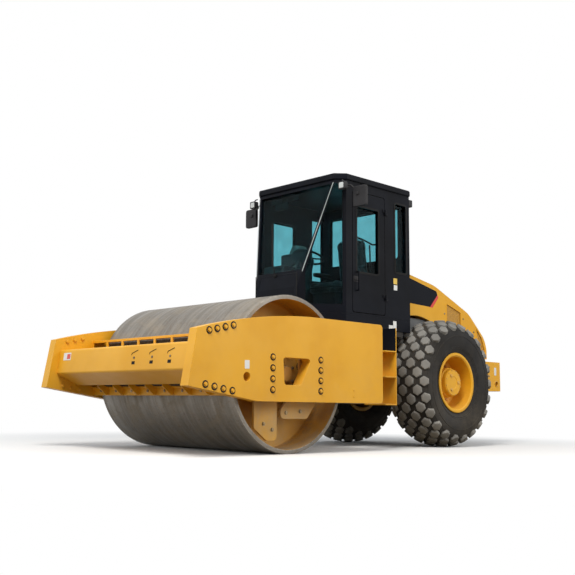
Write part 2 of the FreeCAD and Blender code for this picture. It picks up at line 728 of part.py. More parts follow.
def hitch():
    """Articulation barrel, swivel housing in front of it and a steering lug each side."""
    body = newBody("hitch", pivotX)
    face = size.pivot_back - size.rear_beam_back - size.flange_wall - size.seat_gap
    pad(body, disc(planSketch(body, size.hitch_low), 0, 0, size.hitch_radius),
        size.hitch_high - size.hitch_low)
    web = size.hitch_radius * 0.9
    pad(body, profile(planSketch(body, size.hitch_web_low), [
        (0, -web), (face - size.swivel_length, -size.swivel_radius * 0.85),
        (face - size.swivel_length / 2, -size.swivel_radius * 0.85),
        (face - size.swivel_length / 2, size.swivel_radius * 0.85),
        (face - size.swivel_length, size.swivel_radius * 0.85), (0, web)]),
        size.hitch_web_high - size.hitch_web_low)
    pad(body, disc(endSketch(body, face), 0, size.swivel_height, size.swivel_radius),
        size.swivel_length, back=True)
    lugTip = size.lug_arm + size.lug_eye
    lugTop = size.swivel_height - size.barrel_radius - size.seat_gap
    pad(body, profile(planSketch(body, lugTop - size.lug_wall), [
        (-size.lug_eye, -lugTip, size.lug_eye - 1), (size.lug_eye, -lugTip, size.lug_eye - 1),
        (size.hitch_radius, 0),
        (size.lug_eye, lugTip, size.lug_eye - 1), (-size.lug_eye, lugTip, size.lug_eye - 1),
        (-size.hitch_radius, 0)]), size.lug_wall)
    cut(body, disc(endSketch(body, face), 0, size.swivel_height,
                   size.swivel_shaft + size.shaft_gap),
        size.swivel_shaft_length + size.seat_gap * 2)
    cut(body, disc(planSketch(body), 0, 0, size.hitch_pin + size.shaft_gap))
    return keep(body)


def steeringBarrel(name, y):
    """Closed end with its pin boss, then the bored barrel."""
    body = newBody(name, pivotX - size.cylinder_reach, y, size.swivel_height)
    turned(body, profile(sideSketch(body), [
        (0, 0), (size.barrel_length, 0), (size.barrel_length, size.barrel_radius),
        (0, size.barrel_radius)]))
    pad(body, disc(planSketch(body), 0, 0, size.barrel_radius), size.barrel_radius * 2, both=True)
    bore = body.newObject("PartDesign::Groove", "Bore")
    bore.Profile = profile(sideSketch(body), [
        (size.barrel_radius + size.barrel_blind, 0), (size.barrel_length, 0),
        (size.barrel_length, size.rod_radius + size.shaft_gap),
        (size.barrel_radius + size.barrel_blind, size.rod_radius + size.shaft_gap)])
    bore.ReferenceAxis = (bore.Profile[0], ["H_Axis"])
    bore.Angle = 360
    cuts.append(bore)
    cut(body, disc(planSketch(body), 0, 0, size.cylinder_pin + size.shaft_gap))
    return keep(body)


def steeringRod(name, y):
    body = newBody(name, pivotX, y, size.swivel_height)
    turned(body, profile(sideSketch(body), [
        (-size.rod_length, 0), (0, 0), (0, size.rod_radius), (-size.rod_length, size.rod_radius)]))
    pad(body, disc(planSketch(body), 0, 0, size.barrel_radius), size.barrel_radius * 2, both=True)
    return keep(body)


# Rear frame, axle and wheels

def rearFrame():
    """Two side plates, the fork round the hitch, the engine bay and the platform for the cab."""
    body = newBody("rear_frame", axleX)
    forkTop = forkHigh + size.fork_wall
    pad(body, profile(sideSketch(body), [
        (-size.frame_rear, size.frame_tail_low),
        (-size.frame_tail, size.frame_low),
        (forkFront, forkLow - size.fork_wall),
        (forkFront, forkLow),
        (throatFront, forkLow),
        (throatFront, forkHigh),
        (forkFront, forkHigh),
        (forkFront, forkTop),
        (-size.frame_rear, forkTop)]), size.frame_half * 2, both=True)
    pad(body, rectangle(planSketch(body, forkTop), bulwarkFront, throatFront,
                        -size.frame_half, size.frame_half),
        size.platform_top - size.platform_wall - forkTop)
    pad(body, rectangle(planSketch(body, size.platform_top - size.platform_wall),
                        bulwarkFront, forkFront, -size.platform_half,
                        size.platform_half, size.plate_corner), size.platform_wall)
    cut(body, rectangle(planSketch(body), -size.bay_rear, bayFront,
                        -frameInner, frameInner))
    cut(body, rectangle(sideSketch(body), bulwarkFront, throatFront + size.seat_gap,
                        forkLow, forkHigh), frameInner * 2, both=True)
    cut(body, disc(sideSketch(body), 0, size.axle_height, size.axle_tube + size.seat_gap))
    bracketTop = size.swivel_height - size.barrel_radius - size.seat_gap
    bracket = planSketch(body, bracketTop - size.lug_wall)
    for side in (-1, 1):
        middle = size.lug_arm * side
        rectangle(bracket, bulwarkFront, barrelX + size.lug_eye,
                  middle - size.lug_eye, middle + size.lug_eye)
    pad(body, bracket, size.lug_wall)
    pins = planSketch(body, bracketTop)
    for side in (-1, 1):
        disc(pins, barrelX, size.lug_arm * side, size.cylinder_pin)
    pad(body, pins, size.barrel_radius * 2 + size.flange_wall / 2)
    pad(body, disc(planSketch(body, forkLow), size.pivot_reach, 0, size.hitch_pin),
        forkHigh - forkLow)
    return keep(body)


def rearAxle():
    """Housing with the differential's bulge in the middle and a flange at each end."""
    body = newBody("rear_axle", axleX, 0, size.axle_height)
    wheelFace = size.track_half - size.disc_inset - size.rim_wall - size.seat_gap
    bulge, slope = size.axle_bulge_half, size.axle_bulge - size.axle_tube
    neck = wheelFace - size.axle_flange_wall
    turned(body, profile(endSketch(body), [
        (-wheelFace, 0), (wheelFace, 0), (wheelFace, size.axle_flange),
        (neck, size.axle_flange), (neck, size.axle_tube), (bulge + slope, size.axle_tube),
        (bulge, size.axle_bulge), (-bulge, size.axle_bulge), (-bulge - slope, size.axle_tube),
        (-neck, size.axle_tube), (-neck, size.axle_flange), (-wheelFace, size.axle_flange)]))
    return keep(body)


def mirrored(side, points):
    """Points (y, r) of a left wheel, or of a right one, counter-clockwise either way."""
    if side > 0:
        return points
    return [(-asSize(point[0]),) + tuple(point[1:]) for point in reversed(points)]


def rim(name, side):
    """Rim barrel with a flange each side, the wheel disc and the planetary hub."""
    body = newBody(name, axleX, size.track_half * side, size.axle_height)
    barrel = size.rim_radius - size.rim_wall
    face = -size.disc_inset
    turned(body, profile(endSketch(body), mirrored(side, [
        (face - size.rim_wall, 0),
        (size.hub_proud, 0),
        (size.hub_proud, size.hub_radius),
        (face, size.hub_radius),
        (face, barrel),
        (size.rim_half, barrel),
        (size.rim_half, size.rim_lip),
        (size.rim_half - size.rim_wall, size.rim_lip),
        (size.rim_half - size.rim_wall, size.rim_radius),
        (-size.rim_half + size.rim_wall, size.rim_radius),
        (-size.rim_half + size.rim_wall, size.rim_lip),
        (-size.rim_half, size.rim_lip),
        (-size.rim_half, barrel),
        (face - size.rim_wall, barrel)])))
    return keep(body)


def tyre(name, side):
    """Casing from bead to bead, with a rounded shoulder."""
    body = newBody(name, axleX, size.track_half * side, size.axle_height)
    bead = size.rim_half - size.rim_wall - size.seat_gap
    foot = size.rim_radius + size.seat_gap
    half, top = size.tyre_half, size.axle_height
    shoulder = size.tyre_shoulder
    bulgeLow = size.rim_lip + size.tyre_shoulder
    turned(body, profile(endSketch(body), [
        (-bead, foot), (bead, foot), (bead, size.rim_lip),
        (half, bulgeLow), (half, top - shoulder * 2), (half - shoulder, top),
        (-half + shoulder, top), (-half, top - shoulder * 2), (-half, bulgeLow),
        (-bead, size.rim_lip)]))
    return keep(body)


def rearBumper():
    """Counterweight behind the engine, with a wing forward on each side and its tie-down eyes."""
    body = newBody("rear_bumper", axleX)
    chamfer = size.bumper_chamfer
    pad(body, profile(planSketch(body, size.bumper_low), [
        (-size.rear_reach, -size.bumper_half + chamfer),
        (-size.rear_reach + chamfer, -size.bumper_half),
        (-size.bumper_front, -size.bumper_half),
        (-size.bumper_front, -size.frame_half),
        (-size.frame_rear, -size.frame_half),
        (-size.frame_rear, size.frame_half),
        (-size.bumper_front, size.frame_half),
        (-size.bumper_front, size.bumper_half),
        (-size.rear_reach + chamfer, size.bumper_half),
        (-size.rear_reach, size.bumper_half - chamfer)]), size.bumper_high - size.bumper_low)
    for side in (-1, 1):
        eye = disc(sideSketch(body, size.bumper_half * side), -size.eye_x, size.eye_z,
                   size.eye_radius)
        cut(body, eye, size.eye_depth, back=side > 0)
    buffers = planSketch(body, size.bumper_high)
    for left in (-size.tail_vent_half, size.tail_vent_half - size.hood_wall * 2):
        rectangle(buffers, -size.hood_tail_x, size.hood_wall - size.hood_tail_x,
                  left, left + size.hood_wall * 2)
    pad(body, buffers, size.hood_tail_low - size.seat_gap - size.bumper_high)
    return keep(body)


def engineBlock():
    body = newBody("engine_block", axleX)
    pad(body, rectangle(planSketch(body, size.engine_low), -size.engine_rear,
                        bayFront - size.engine_gap, size.seat_gap - frameInner,
                        frameInner - size.seat_gap),
        size.engine_high - size.engine_low)
    return keep(body)


def accessSteps():
    """Three treads each side, between two cheeks, under the cab's side."""
    sides = []
    for name, side in (("steps_left", 1), ("steps_right", -1)):
        body = newBody(name, axleX)
        outer = size.step_outer if side > 0 else -size.step_inner
        width = size.step_outer - size.step_inner
        wall = size.step_wall
        treads = [size.step_low, size.step_middle, size.step_high]
        low = size.step_low - wall
        top = size.platform_top
        sketch = sideSketch(body, outer)
        rectangle(sketch, stepRear, stepRear + wall, low, top)
        pad(body, sketch, width)
        for tread in treads:
            pad(body, rectangle(sideSketch(body, outer), stepRear + wall,
                                stepFront, tread - wall, tread), width)
        inner = -size.step_inner if side < 0 else size.step_inner + wall
        pad(body, rectangle(sideSketch(body, inner), stepRear, stepFront, low, top),
            wall)
        sides.append(body)
    return gathered("access_steps", sides)


# Cab

def cabOutline(inset=0):
    """The cab's plan, counter-clockwise from its rear right corner."""
    return [
        (size.cab_rear + inset, -size.cab_half + inset),
        (size.cab_post_x, -size.cab_half + inset),
        (size.cab_nose_x - inset, -size.cab_nose_half),
        (size.cab_nose_x - inset, size.cab_nose_half),
        (size.cab_post_x, size.cab_half - inset),
        (size.cab_rear + inset, size.cab_half - inset)]


def cabBase():
    body = newBody("cab_base", axleX)
    pad(body, profile(planSketch(body, size.platform_top), cabOutline()),
        size.cab_floor - size.platform_top)
    return keep(body)


def cornerSketch(body, side):
    """On the cab's corner plane: x runs forward from the side post, y is up."""
    sketch = sketchOn(body, "XZ", 0)
    swing = math.degrees(math.atan2(
        (size.cab_half - size.cab_nose_half).value, (size.cab_nose_x - size.cab_post_x).value))
    sketch.AttachmentOffset = FreeCAD.Placement(
        Vector(), FreeCAD.Rotation(Vector(0, -side, 0), swing))
    bind(sketch, "AttachmentOffset.Base.x", size.cab_post_x)
    bind(sketch, "AttachmentOffset.Base.z", -size.cab_half * side)
    angle = "atan((Sizes.cab_half - Sizes.cab_nose_half) / (Sizes.cab_nose_x - Sizes.cab_post_x))"
    sketch.setExpression("AttachmentOffset.Rotation.Angle", angle)
    return sketch


def cornerGlass(sketch):
    corner = size.cab_corner / 2
    return profile(sketch, [
        (size.glass_post, size.glass_low, corner),
        (size.glass_nose, size.glass_low, corner),
        (size.glass_nose, size.screen_low, corner),
        (size.glass_brow, cabHigh.screen, corner),
        (size.glass_post, cabHigh.screen, corner)])


def screenOutline(sketch):
    corner = size.cab_corner / 2
    return profile(sketch, [
        (-size.screen_low_half, size.screen_low, corner),
        (size.screen_low_half, size.screen_low, corner),
        (size.screen_high_half, cabHigh.screen, corner),
        (-size.screen_high_half, cabHigh.screen, corner)])


def quarterOutline(sketch):
    return rectangle(sketch, size.quarter_rear, size.quarter_front,
                     size.quarter_low, cabHigh.quarter, size.cab_corner)


def sideWindowOutline(sketch):
    return rectangle(sketch, size.side_window_rear, size.door_front - size.door_frame,
                     size.sill_high, cabHigh.head, size.cab_corner)


def rearWindowOutline(sketch):
    return rectangle(sketch, -size.rear_window_half, size.rear_window_half,
                     size.rear_window_low, cabHigh.quarter, size.cab_corner)


def panelOutline(sketch):
    return rectangle(sketch, -size.panel_half, size.panel_half, size.panel_low, size.panel_high)


def slopeX(z):
    """Where the windscreen's plane is at a height."""
    run = (size.cab_nose_x - size.cab_brow_x) / (size.cab_eaves - size.cab_kink_z)
    return size.cab_nose_x - (z - size.cab_kink_z) * run


def doorHinges(body, onDoor):
    """The door's half of its hinges, or the frame's half with the pins."""
    wall = size.flange_wall / 2
    leaf = size.hinge_leaf if onDoor else -size.hinge_leaf
    left, right = (doorHingeX, doorHingeX + leaf) if onDoor else (doorHingeX + leaf, doorHingeX)
    for foot in (size.hinge_low, cabHigh.hinge):
        start = foot + size.hinge_knuckle + size.seat_gap if onDoor else foot
        pad(body, rectangle(planSketch(body, start), left, right,
                            size.cab_half, size.cab_half + wall), size.hinge_knuckle)
        pad(body, disc(planSketch(body, start), doorHingeX, doorHingeY, size.hinge_radius),
            size.hinge_knuckle)
    if onDoor:
        cut(body, disc(planSketch(body), doorHingeX, doorHingeY, size.hinge_pin + size.shaft_gap))
        return
    for foot in (size.hinge_low, cabHigh.hinge):
        pad(body, disc(planSketch(body, foot + size.hinge_knuckle), doorHingeX, doorHingeY,
                       size.hinge_pin), size.hinge_knuckle)


def hoodHinges(body, onHood):
    """The hood's ears with their holes, or the cab's brackets with their pins."""
    wall = size.hinge_knuckle
    radius, x, z = size.hinge_radius, size.cab_rear - size.hood_hinge_drop, size.hood_hinge_z
    for side in (-1, 1):
        near = size.hood_hinge_y * side
        if onHood:
            start = near + wall + size.seat_gap
            low, front = size.hood_front_top - size.hood_wall / 2, hoodFront
        else:
            start = near + wall
            low, front = z - radius, size.cab_rear
            shaft = disc(sideSketch(body, start + wall), x, z, size.hinge_pin)
        if onHood:
            pad(body, rectangle(sideSketch(body, start + wall), x - radius, x + radius, low, z),
                wall)
            pad(body, disc(sideSketch(body, start + wall), x, z, radius), wall)
        else:
            pad(body, rectangle(sideSketch(body, start), x, front, low, z + radius), wall)
            pad(body, disc(sideSketch(body, start), x, z, radius), wall)
            pad(body, shaft, wall)
    if onHood:
        cut(body, disc(sideSketch(body), x, z, size.hinge_pin + size.shaft_gap))


def cabFrame():
    """Posts, sides and back of the cab as one welded frame, open at the door and windows."""
    body = newBody("cab_frame", axleX)
    ahead = size.cab_nose_x + size.cab_wall
    pad(body, profile(planSketch(body, size.cab_floor), cabOutline()),
        size.cab_eaves - size.cab_floor)
    rake = cut(body, profile(sideSketch(body), [
        (size.cab_nose_x, size.cab_kink_z), (ahead, size.cab_kink_z),
        (ahead, size.cab_eaves + size.cab_wall),
        (slopeX(size.cab_eaves + size.cab_wall), size.cab_eaves + size.cab_wall)]))
    hollowOut(body, rake, size.cab_wall, lambda face: abs(face.normalAt(0, 0).z) > 0.99)
    through = size.cab_wall * 1.5
    cut(body, rectangle(sideSketch(body, size.cab_half), size.door_rear, size.door_front,
                        size.door_low, cabHigh.door, size.cab_corner), through, back=True)
    cut(body, sideWindowOutline(sideSketch(body, -size.cab_half)), through)
    cut(body, quarterOutline(sideSketch(body)))
    cut(body, rearWindowOutline(endSketch(body, size.cab_rear)), through, back=True)
    cut(body, screenOutline(endSketch(body, ahead)), ahead - size.cab_post_x)
    cut(body, panelOutline(endSketch(body, ahead)), size.cab_wall * 5)
    cut(body, cornerGlass(cornerSketch(body, 1)), size.cab_wall * 1.2, back=True)
    cut(body, cornerGlass(cornerSketch(body, -1)), size.cab_wall * 1.2)
    doorHinges(body, False)
    hoodHinges(body, False)
    return keep(body)


def cabFrontPanel():
    body = newBody("cab_front_panel", axleX)
    wall = size.cab_wall
    top = slopeX(size.panel_high)
    pad(body, profile(sideSketch(body), [
        (size.cab_nose_x - wall, size.panel_low), (size.cab_nose_x, size.panel_low),
        (size.cab_nose_x, size.cab_kink_z), (top, size.panel_high),
        (top - wall, size.panel_high), (size.cab_nose_x - wall, size.cab_kink_z)]),
        size.panel_half * 2, both=True)
    return keep(body)


def cabRoof():
    body = newBody("cab_roof", axleX)
    brim = size.roof_brim
    slab = pad(body, profile(planSketch(body, size.cab_eaves), [
        (size.cab_rear - brim, -size.cab_half - brim, size.plate_corner),
        (size.cab_post_x, -size.cab_half - brim),
        (size.cab_brow_x + brim, -size.cab_brow_half),
        (size.cab_brow_x + brim, size.cab_brow_half),
        (size.cab_post_x, size.cab_half + brim),
        (size.cab_rear - brim, size.cab_half + brim, size.plate_corner)]), size.roof_wall)
    roundEdges(body, slab, size.roof_round, atHeight(size.cab_eaves + size.roof_wall))
    return keep(body)


def pane(name, sketcher, outline, length, **way):
    body = newBody(name, axleX)
    pad(body, outline(sketcher(body)), length, **way)
    return body


def cabGlass():
    """Windscreen, two corner panes, the right side's window, two quarter windows and the rear one."""
    middle = (size.cab_wall - size.glass_wall) / 2
    glass = size.glass_wall
    prism = pane("screen_prism", lambda body: endSketch(body, size.cab_post_x), screenOutline,
                 size.cab_nose_x - size.cab_post_x)
    slab = newBody("screen_slab", axleX)
    top, foot = size.cab_eaves, size.cab_kink_z
    pad(slab, profile(sideSketch(slab), [
        (slopeX(foot) - middle - glass, foot), (slopeX(foot) - middle, foot),
        (slopeX(top) - middle, top), (slopeX(top) - middle - glass, top)]),
        size.cab_half * 2, both=True)
    screen = document.addObject("Part::Common", "windscreen")
    screen.Base = prism
    screen.Tool = slab
    right = pane("right_window", lambda body: sideSketch(body, -size.cab_half + middle + glass),
                 sideWindowOutline, glass)
    quarterLeft = pane("quarter_left", lambda body: sideSketch(body, size.cab_half - middle),
                       quarterOutline, glass)
    quarterRight = pane("quarter_right",
                        lambda body: sideSketch(body, -size.cab_half + middle + glass),
                        quarterOutline, glass)
    rear = pane("rear_window", lambda body: endSketch(body, size.cab_rear + middle),
                rearWindowOutline, glass)
    cornerLeft = pane("corner_left", lambda body: cornerSketch(body, 1), cornerGlass, glass)
    cornerRight = pane("corner_right", lambda body: cornerSketch(body, -1), cornerGlass, glass,
                       back=True)
    return gathered("cab_glass", [
        screen, right, quarterLeft, quarterRight, rear, cornerLeft, cornerRight])


def doorPanel():
    body = newBody("door_panel", axleX)
    gap = size.door_gap
    pad(body, rectangle(sideSketch(body, size.cab_half), size.door_rear + gap,
                        size.door_front - gap * 1.25, size.door_low + gap, cabHigh.door - gap,
                        size.cab_corner), size.cab_wall)
    cut(body, sideWindowOutline(sideSketch(body)))
    doorHinges(body, True)
    return keep(body)


def doorGlass():
    middle = (size.cab_wall - size.glass_wall) / 2
    return keep(pane("door_glass", lambda body: sideSketch(body, size.cab_half - middle),
                     sideWindowOutline, size.glass_wall))


def doorHandle():
    """Upright grab bar on the door's outside."""
    body = newBody("door_handle", axleX + size.door_front - size.grab_x, size.cab_half,
                   size.grab_z)
    reach, top, wall = size.grab_reach, size.grab_long, size.grab_wall
    pad(body, profile(endSketch(body), [
        (0, 0), (reach, 0, wall), (reach, top, wall), (0, top), (0, top - wall),
        (reach - wall, top - wall), (reach - wall, wall), (0, wall)]), wall, both=True)
    return keep(body)


def seat():
    """Base on the floor, cushion, and a leaning backrest behind it."""
    seatX = axleX + size.cab_rear + size.seat_x
    cushionFoot = size.cab_floor + size.seat_high
    base = newBody("seat_base", seatX, 0, size.cab_floor)
    half = size.seat_post_half
    pad(base, rectangle(planSketch(base), -half, half, -half, half, size.flange_wall),
        size.seat_high)
    keep(base)
    cushion = newBody("seat_cushion", seatX, 0, cushionFoot)
    half = size.cushion_half
    pad(cushion, rectangle(planSketch(cushion), -half, half, -half, half, size.cushion_corner),
        size.cushion_wall)
    keep(cushion)
    back = newBody("seat_back", seatX, 0, cushionFoot)
    near = -half - size.seat_gap
    far = near - size.back_wall
    pad(back, profile(sideSketch(back), [
        (far, size.flange_wall), (near, size.flange_wall), (near, size.cushion_wall),
        (near - size.back_lean, size.back_high, size.back_corner),
        (far - size.back_lean, size.back_high, size.back_corner)]),
        size.back_half * 2, both=True)
    return keep(back)


def steeringPost():
    """Column that leans back to the driver, and the wheel square to its head."""
    column = newBody("steering_column", axleX + size.cab_rear, 0, size.cab_floor)
    foot, head, rise = size.column_foot_x, size.column_head_x, size.column_head_z
    pad(column, profile(sideSketch(column), [
        (foot, 0), (foot + size.column_foot, 0),
        (head + size.column_head, rise + size.column_head_rise), (head, rise)]),
        size.column_half * 2, both=True)
    keep(column)
    wheel = document.addObject("Part::Torus", "wheel_hoop")
    bind(wheel, "Radius1", size.wheel_radius)
    bind(wheel, "Radius2", size.wheel_tube)
    hub = cylinder("wheel_hub", size.wheel_hub, size.wheel_hub_wall)
    bind(hub, "Placement.Base.z", -size.wheel_hub_wall * 2 / 3)
    spokes = []
    for number in range(3):
        spoke = cylinder("wheel_spoke", size.spoke_radius, size.wheel_radius)
        turn = FreeCAD.Rotation(Vector(0, 0, 1), 60 + 120 * number)
        spoke.Placement = FreeCAD.Placement(
            Vector(), turn.multiply(FreeCAD.Rotation(Vector(0, 1, 0), 90)))
        bind(spoke, "Placement.Base.z", -size.spoke_radius / 2)
        spokes.append(spoke)
    whole = document.addObject("Part::MultiFuse", "steering_wheel")
    whole.Label = "steering_wheel"
    whole.Shapes = [wheel, hub] + spokes
    slope = math.atan2(size.column_head_rise.value, size.column_head.value)
    whole.Placement = FreeCAD.Placement(
        Vector(), FreeCAD.Rotation(Vector(0, 1, 0), -math.degrees(slope)))
    headZ = size.cab_floor + size.column_head_z + size.column_head_rise / 2
    place(whole, axleX + size.cab_rear + size.column_head_x + size.column_head / 2, 0,
          headZ + size.wheel_hub_wall * (2 / 3 / math.cos(slope)))
    return keep(whole)


def consoles():
    """Dash console ahead of the driver's right knee, and the side console at the right hand."""
    for name, rear, long, inner, wide, high in (
            ("dash_console", size.dash_x, size.dash_long, size.dash_inner, size.dash_wide,
             size.dash_high),
            ("side_console", size.side_x, size.side_long, size.side_inner, size.side_wide,
             size.side_high)):
        body = newBody(name, axleX + size.cab_rear + rear, -inner, size.cab_floor)
        pad(body, rectangle(planSketch(body), 0, long, -wide, 0, size.console_corner), high)
        keep(body)


def mirrors():
    heads = []
    for name, side in (("mirror_left", 1), ("mirror_right", -1)):
        head = newBody(name, axleX + size.cab_post_x - size.mirror_back,
                       (size.cab_half + size.mirror_reach) * side,
                       size.cab_eaves - size.mirror_drop)
        wide, high = size.mirror_half_wide, size.mirror_half_high
        pad(head, rectangle(endSketch(head), -wide, wide, -high, high, size.mirror_arm),
            size.mirror_wall, both=True)
        ends = (-size.mirror_reach, -wide) if side > 0 else (wide, size.mirror_reach)
        low = size.mirror_arm_low
        arm = rectangle(endSketch(head), *ends, low, low + size.mirror_arm)
        pad(head, arm, size.mirror_arm, both=True)
        heads.append(head)
    return gathered("mirrors", heads)


def lamps(name, x, reach, z, facing):
    """Square work lamps on the cab's corners. Those that face forward stand on a bracket."""
    heads = []
    for label, side in ((name + "_left", 1), (name + "_right", -1)):
        head = newBody(label, axleX + x, (size.cab_half + reach) * side, z)
        half = size.lamp_half
        pad(head, rectangle(endSketch(head), -half, half, -half, half, size.lamp_corner),
            size.lamp_long, back=facing < 0)
        if facing > 0:
            near, far = size.lamp_bracket, size.lamp_reach
            ends = (-far, -near) if side > 0 else (near, far)
            pad(head, rectangle(endSketch(head), *ends, size.spoke_radius * 2, half - size.glass_wall / 2),
                size.lamp_long - size.glass_wall / 2, back=True)
        heads.append(head)
    return gathered(name, heads)


# Hood

def hoodShell():
    """Sloping hood with a wheel arch each side, vents in its flanks and a grille behind."""
    body = newBody("hood_shell", axleX)
    tail = -size.hood_tail_x
    solid = pad(body, profile(sideSketch(body), [
        (0, hoodSkirt),
        (0, size.hood_tail_low),
        (tail, size.hood_tail_low),
        (tail, size.hood_heel_z, size.hood_bend / 6),
        (-size.hood_shoulder_x, size.hood_shoulder_z, size.hood_bend / 3),
        (-size.hood_hip_x, size.hood_hip_z, size.hood_bend / 2),
        (-size.hood_brow_x, size.hood_brow_z, size.hood_bend),
        (hoodFront, size.hood_front_top),
        (hoodFront, hoodSkirt)]), size.hood_half * 2, both=True)
    front = hoodFront.value

    def isOpen(face):
        middle = face.CenterOfMass
        flat = face.normalAt(0, 0)
        return flat.z < -0.99 or abs(middle.x) < 0.01 or abs(middle.x - front) < 0.01
    hollowOut(body, solid, size.hood_wall, isOpen)
    cut(body, disc(sideSketch(body), 0, size.axle_height, archRadius))
    flank = sideSketch(body)
    profile(flank, [
        (-size.vent_front_x, size.vent_foot_z), (-size.vent_front_x, size.vent_top_z),
        (-size.vent_rear_x, size.vent_top_z - size.vent_fall), (-size.vent_rear_x, size.vent_toe_z),
        (-size.vent_toe_x, size.vent_toe_z)][::-1])
    profile(flank, [
        (-size.tail_vent_front_x, size.tail_vent_top_z), (-size.tail_vent_bend_x, size.tail_vent_bend_z),
        (-size.tail_vent_rear_x, size.hood_heel_z), (-size.tail_vent_rear_x, size.tail_vent_low_z),
        (-size.tail_vent_toe_x, size.tail_vent_low_z)][::-1])
    cut(body, flank)
    cut(body, rectangle(planSketch(body, size.hood_front_top), -size.grille_rear_x,
                        -size.grille_front_x, -size.tail_vent_half, size.tail_vent_half),
        size.hood_front_top - size.hood_heel_z)
    hoodHinges(body, True)
    return keep(body)


drumShell()
yokePlate("yoke_plate_left", yokeHalf)
yokePlate("yoke_plate_right", -plateInner)
frontBeam()
frontScraper()
rearBeam()
rearScraper()
drumMount("drum_mount_left", 1)
drumMount("drum_mount_right", -1)
hitch()
for side, word in ((1, "left"), (-1, "right")):
    steeringBarrel(f"steering_barrel_{word}", size.lug_arm * side)
    steeringRod(f"steering_rod_{word}", size.lug_arm * side)
    rim(f"rim_{word}", side)
    tyre(f"tyre_{word}", side)
rearFrame()
rearAxle()
rearBumper()
engineBlock()
accessSteps()
cabBase()
cabFrame()
cabFrontPanel()
cabRoof()
cabGlass()
doorPanel()
doorGlass()
doorHandle()
seat()
steeringPost()
consoles()
mirrors()
lamps("front_lamps", size.cab_post_x + size.lamp_x, size.lamp_reach,
      size.cab_eaves - size.lamp_drop, 1)
lamps("rear_lamps", size.cab_rear, -size.lamp_half, size.cab_eaves - size.tail_lamp_drop, -1)
hoodShell()

document.recompute()
for each in document.Objects:
    if "Invalid" in each.State or "Error" in each.State:
        raise RuntimeError(f"{each.Label} did not build: {each.State}")
for feature in cuts:
    if feature.Shape.Volume > feature.BaseFeature.Shape.Volume - 1:
        raise RuntimeError(f"{feature.Label} cut nothing from {feature.getParent().Label}")
os.makedirs("parts", exist_ok=True)
for node in nodes:
    if node.Shape.isNull() or not node.Shape.isValid():
        raise RuntimeError(f"{node.Label} has no sound shape")
    node.Shape.exportStep(f"parts/{node.Label}.step")
    print(node.Label, len(node.Shape.Solids), round(node.Shape.Volume / 1e9, 4))
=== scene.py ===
import json
import math
import bmesh
import bpy
import numpy as np
from mathutils import Matrix, Vector


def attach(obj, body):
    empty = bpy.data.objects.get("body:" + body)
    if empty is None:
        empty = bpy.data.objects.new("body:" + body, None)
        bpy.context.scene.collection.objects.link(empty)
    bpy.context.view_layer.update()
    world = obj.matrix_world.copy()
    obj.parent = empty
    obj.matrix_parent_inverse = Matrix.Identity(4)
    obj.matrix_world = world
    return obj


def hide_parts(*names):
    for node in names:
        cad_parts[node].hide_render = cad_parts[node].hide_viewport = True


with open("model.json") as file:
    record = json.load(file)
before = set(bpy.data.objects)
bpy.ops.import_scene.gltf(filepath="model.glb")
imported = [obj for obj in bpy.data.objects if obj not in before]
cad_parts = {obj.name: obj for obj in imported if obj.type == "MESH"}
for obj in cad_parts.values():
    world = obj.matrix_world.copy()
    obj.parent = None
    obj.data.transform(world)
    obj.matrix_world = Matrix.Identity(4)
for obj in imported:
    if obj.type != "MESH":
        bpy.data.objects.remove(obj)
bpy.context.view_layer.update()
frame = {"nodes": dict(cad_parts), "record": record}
cadNodes = frame["nodes"]
bodyOf = {node: body for body, members in frame["record"]["behaviour"]["bodies"].items()
          for node in members}
scene = bpy.context.scene
scene.view_settings.view_transform = "Standard"

# Places in the frame, metres: x from the drum's axis, and x from the rear axle
drumAxis = (1.6375, 0.775)
rearAxle = (-1.3425, 0.770)


def fromDrum(x):
    return drumAxis[0] + x


def fromAxle(x):
    return rearAxle[0] + x


# Camera

cameraView = {
    "place": (7.84916, 7.14989, 0.45364),
    "yaw": -2.31592, "pitch": 0.135824, "roll": 0.0136054,
    "lens": 55.32, "shift": (0.0730, -0.0036)}


def makeCamera(view):
    # Three turns give the camera's axes: right, up and back.
    yaw, pitch, roll = view["yaw"], view["pitch"], view["roll"]
    ahead = Vector((math.cos(pitch) * math.cos(yaw), math.cos(pitch) * math.sin(yaw),
                    math.sin(pitch)))
    level = Vector((math.sin(yaw), -math.cos(yaw), 0))
    rise = level.cross(ahead)
    right = math.cos(roll) * level + math.sin(roll) * rise
    up = -math.sin(roll) * level + math.cos(roll) * rise
    data = bpy.data.cameras.new("photoCamera")
    data.lens = view["lens"]
    data.sensor_width = 36
    data.shift_x, data.shift_y = view["shift"]
    data.clip_end = 200
    camera = bpy.data.objects.new("photoCamera", data)
    turn = Matrix((right, up, -ahead)).transposed().to_4x4()
    camera.matrix_world = Matrix.Translation(view["place"]) @ turn
    scene.collection.objects.link(camera)
    scene.camera = camera


makeCamera(cameraView)
print("camera placed")


# Node groups shared by the materials

def newGroup(name, inputs, outputs):
    group = bpy.data.node_groups.new(name, "ShaderNodeTree")
    for label, kind, value in inputs:
        socket = group.interface.new_socket(label, in_out="INPUT", socket_type=kind)
        if value is not None:
            socket.default_value = value
    for label, kind in outputs:
        group.interface.new_socket(label, in_out="OUTPUT", socket_type=kind)
    return group, group.nodes.new("NodeGroupInput"), group.nodes.new("NodeGroupOutput")


def node(tree, kind, settings=None, links=None):
    # Adds a node, sets its properties and its inputs: an output is linked, a number is set.
    made = tree.nodes.new(kind)
    for key, value in (settings or {}).items():
        setattr(made, key, value)
    for key, value in (links or {}).items():
        if isinstance(value, bpy.types.NodeSocket):
            tree.links.new(value, made.inputs[key])
        else:
            made.inputs[key].default_value = value
    return made


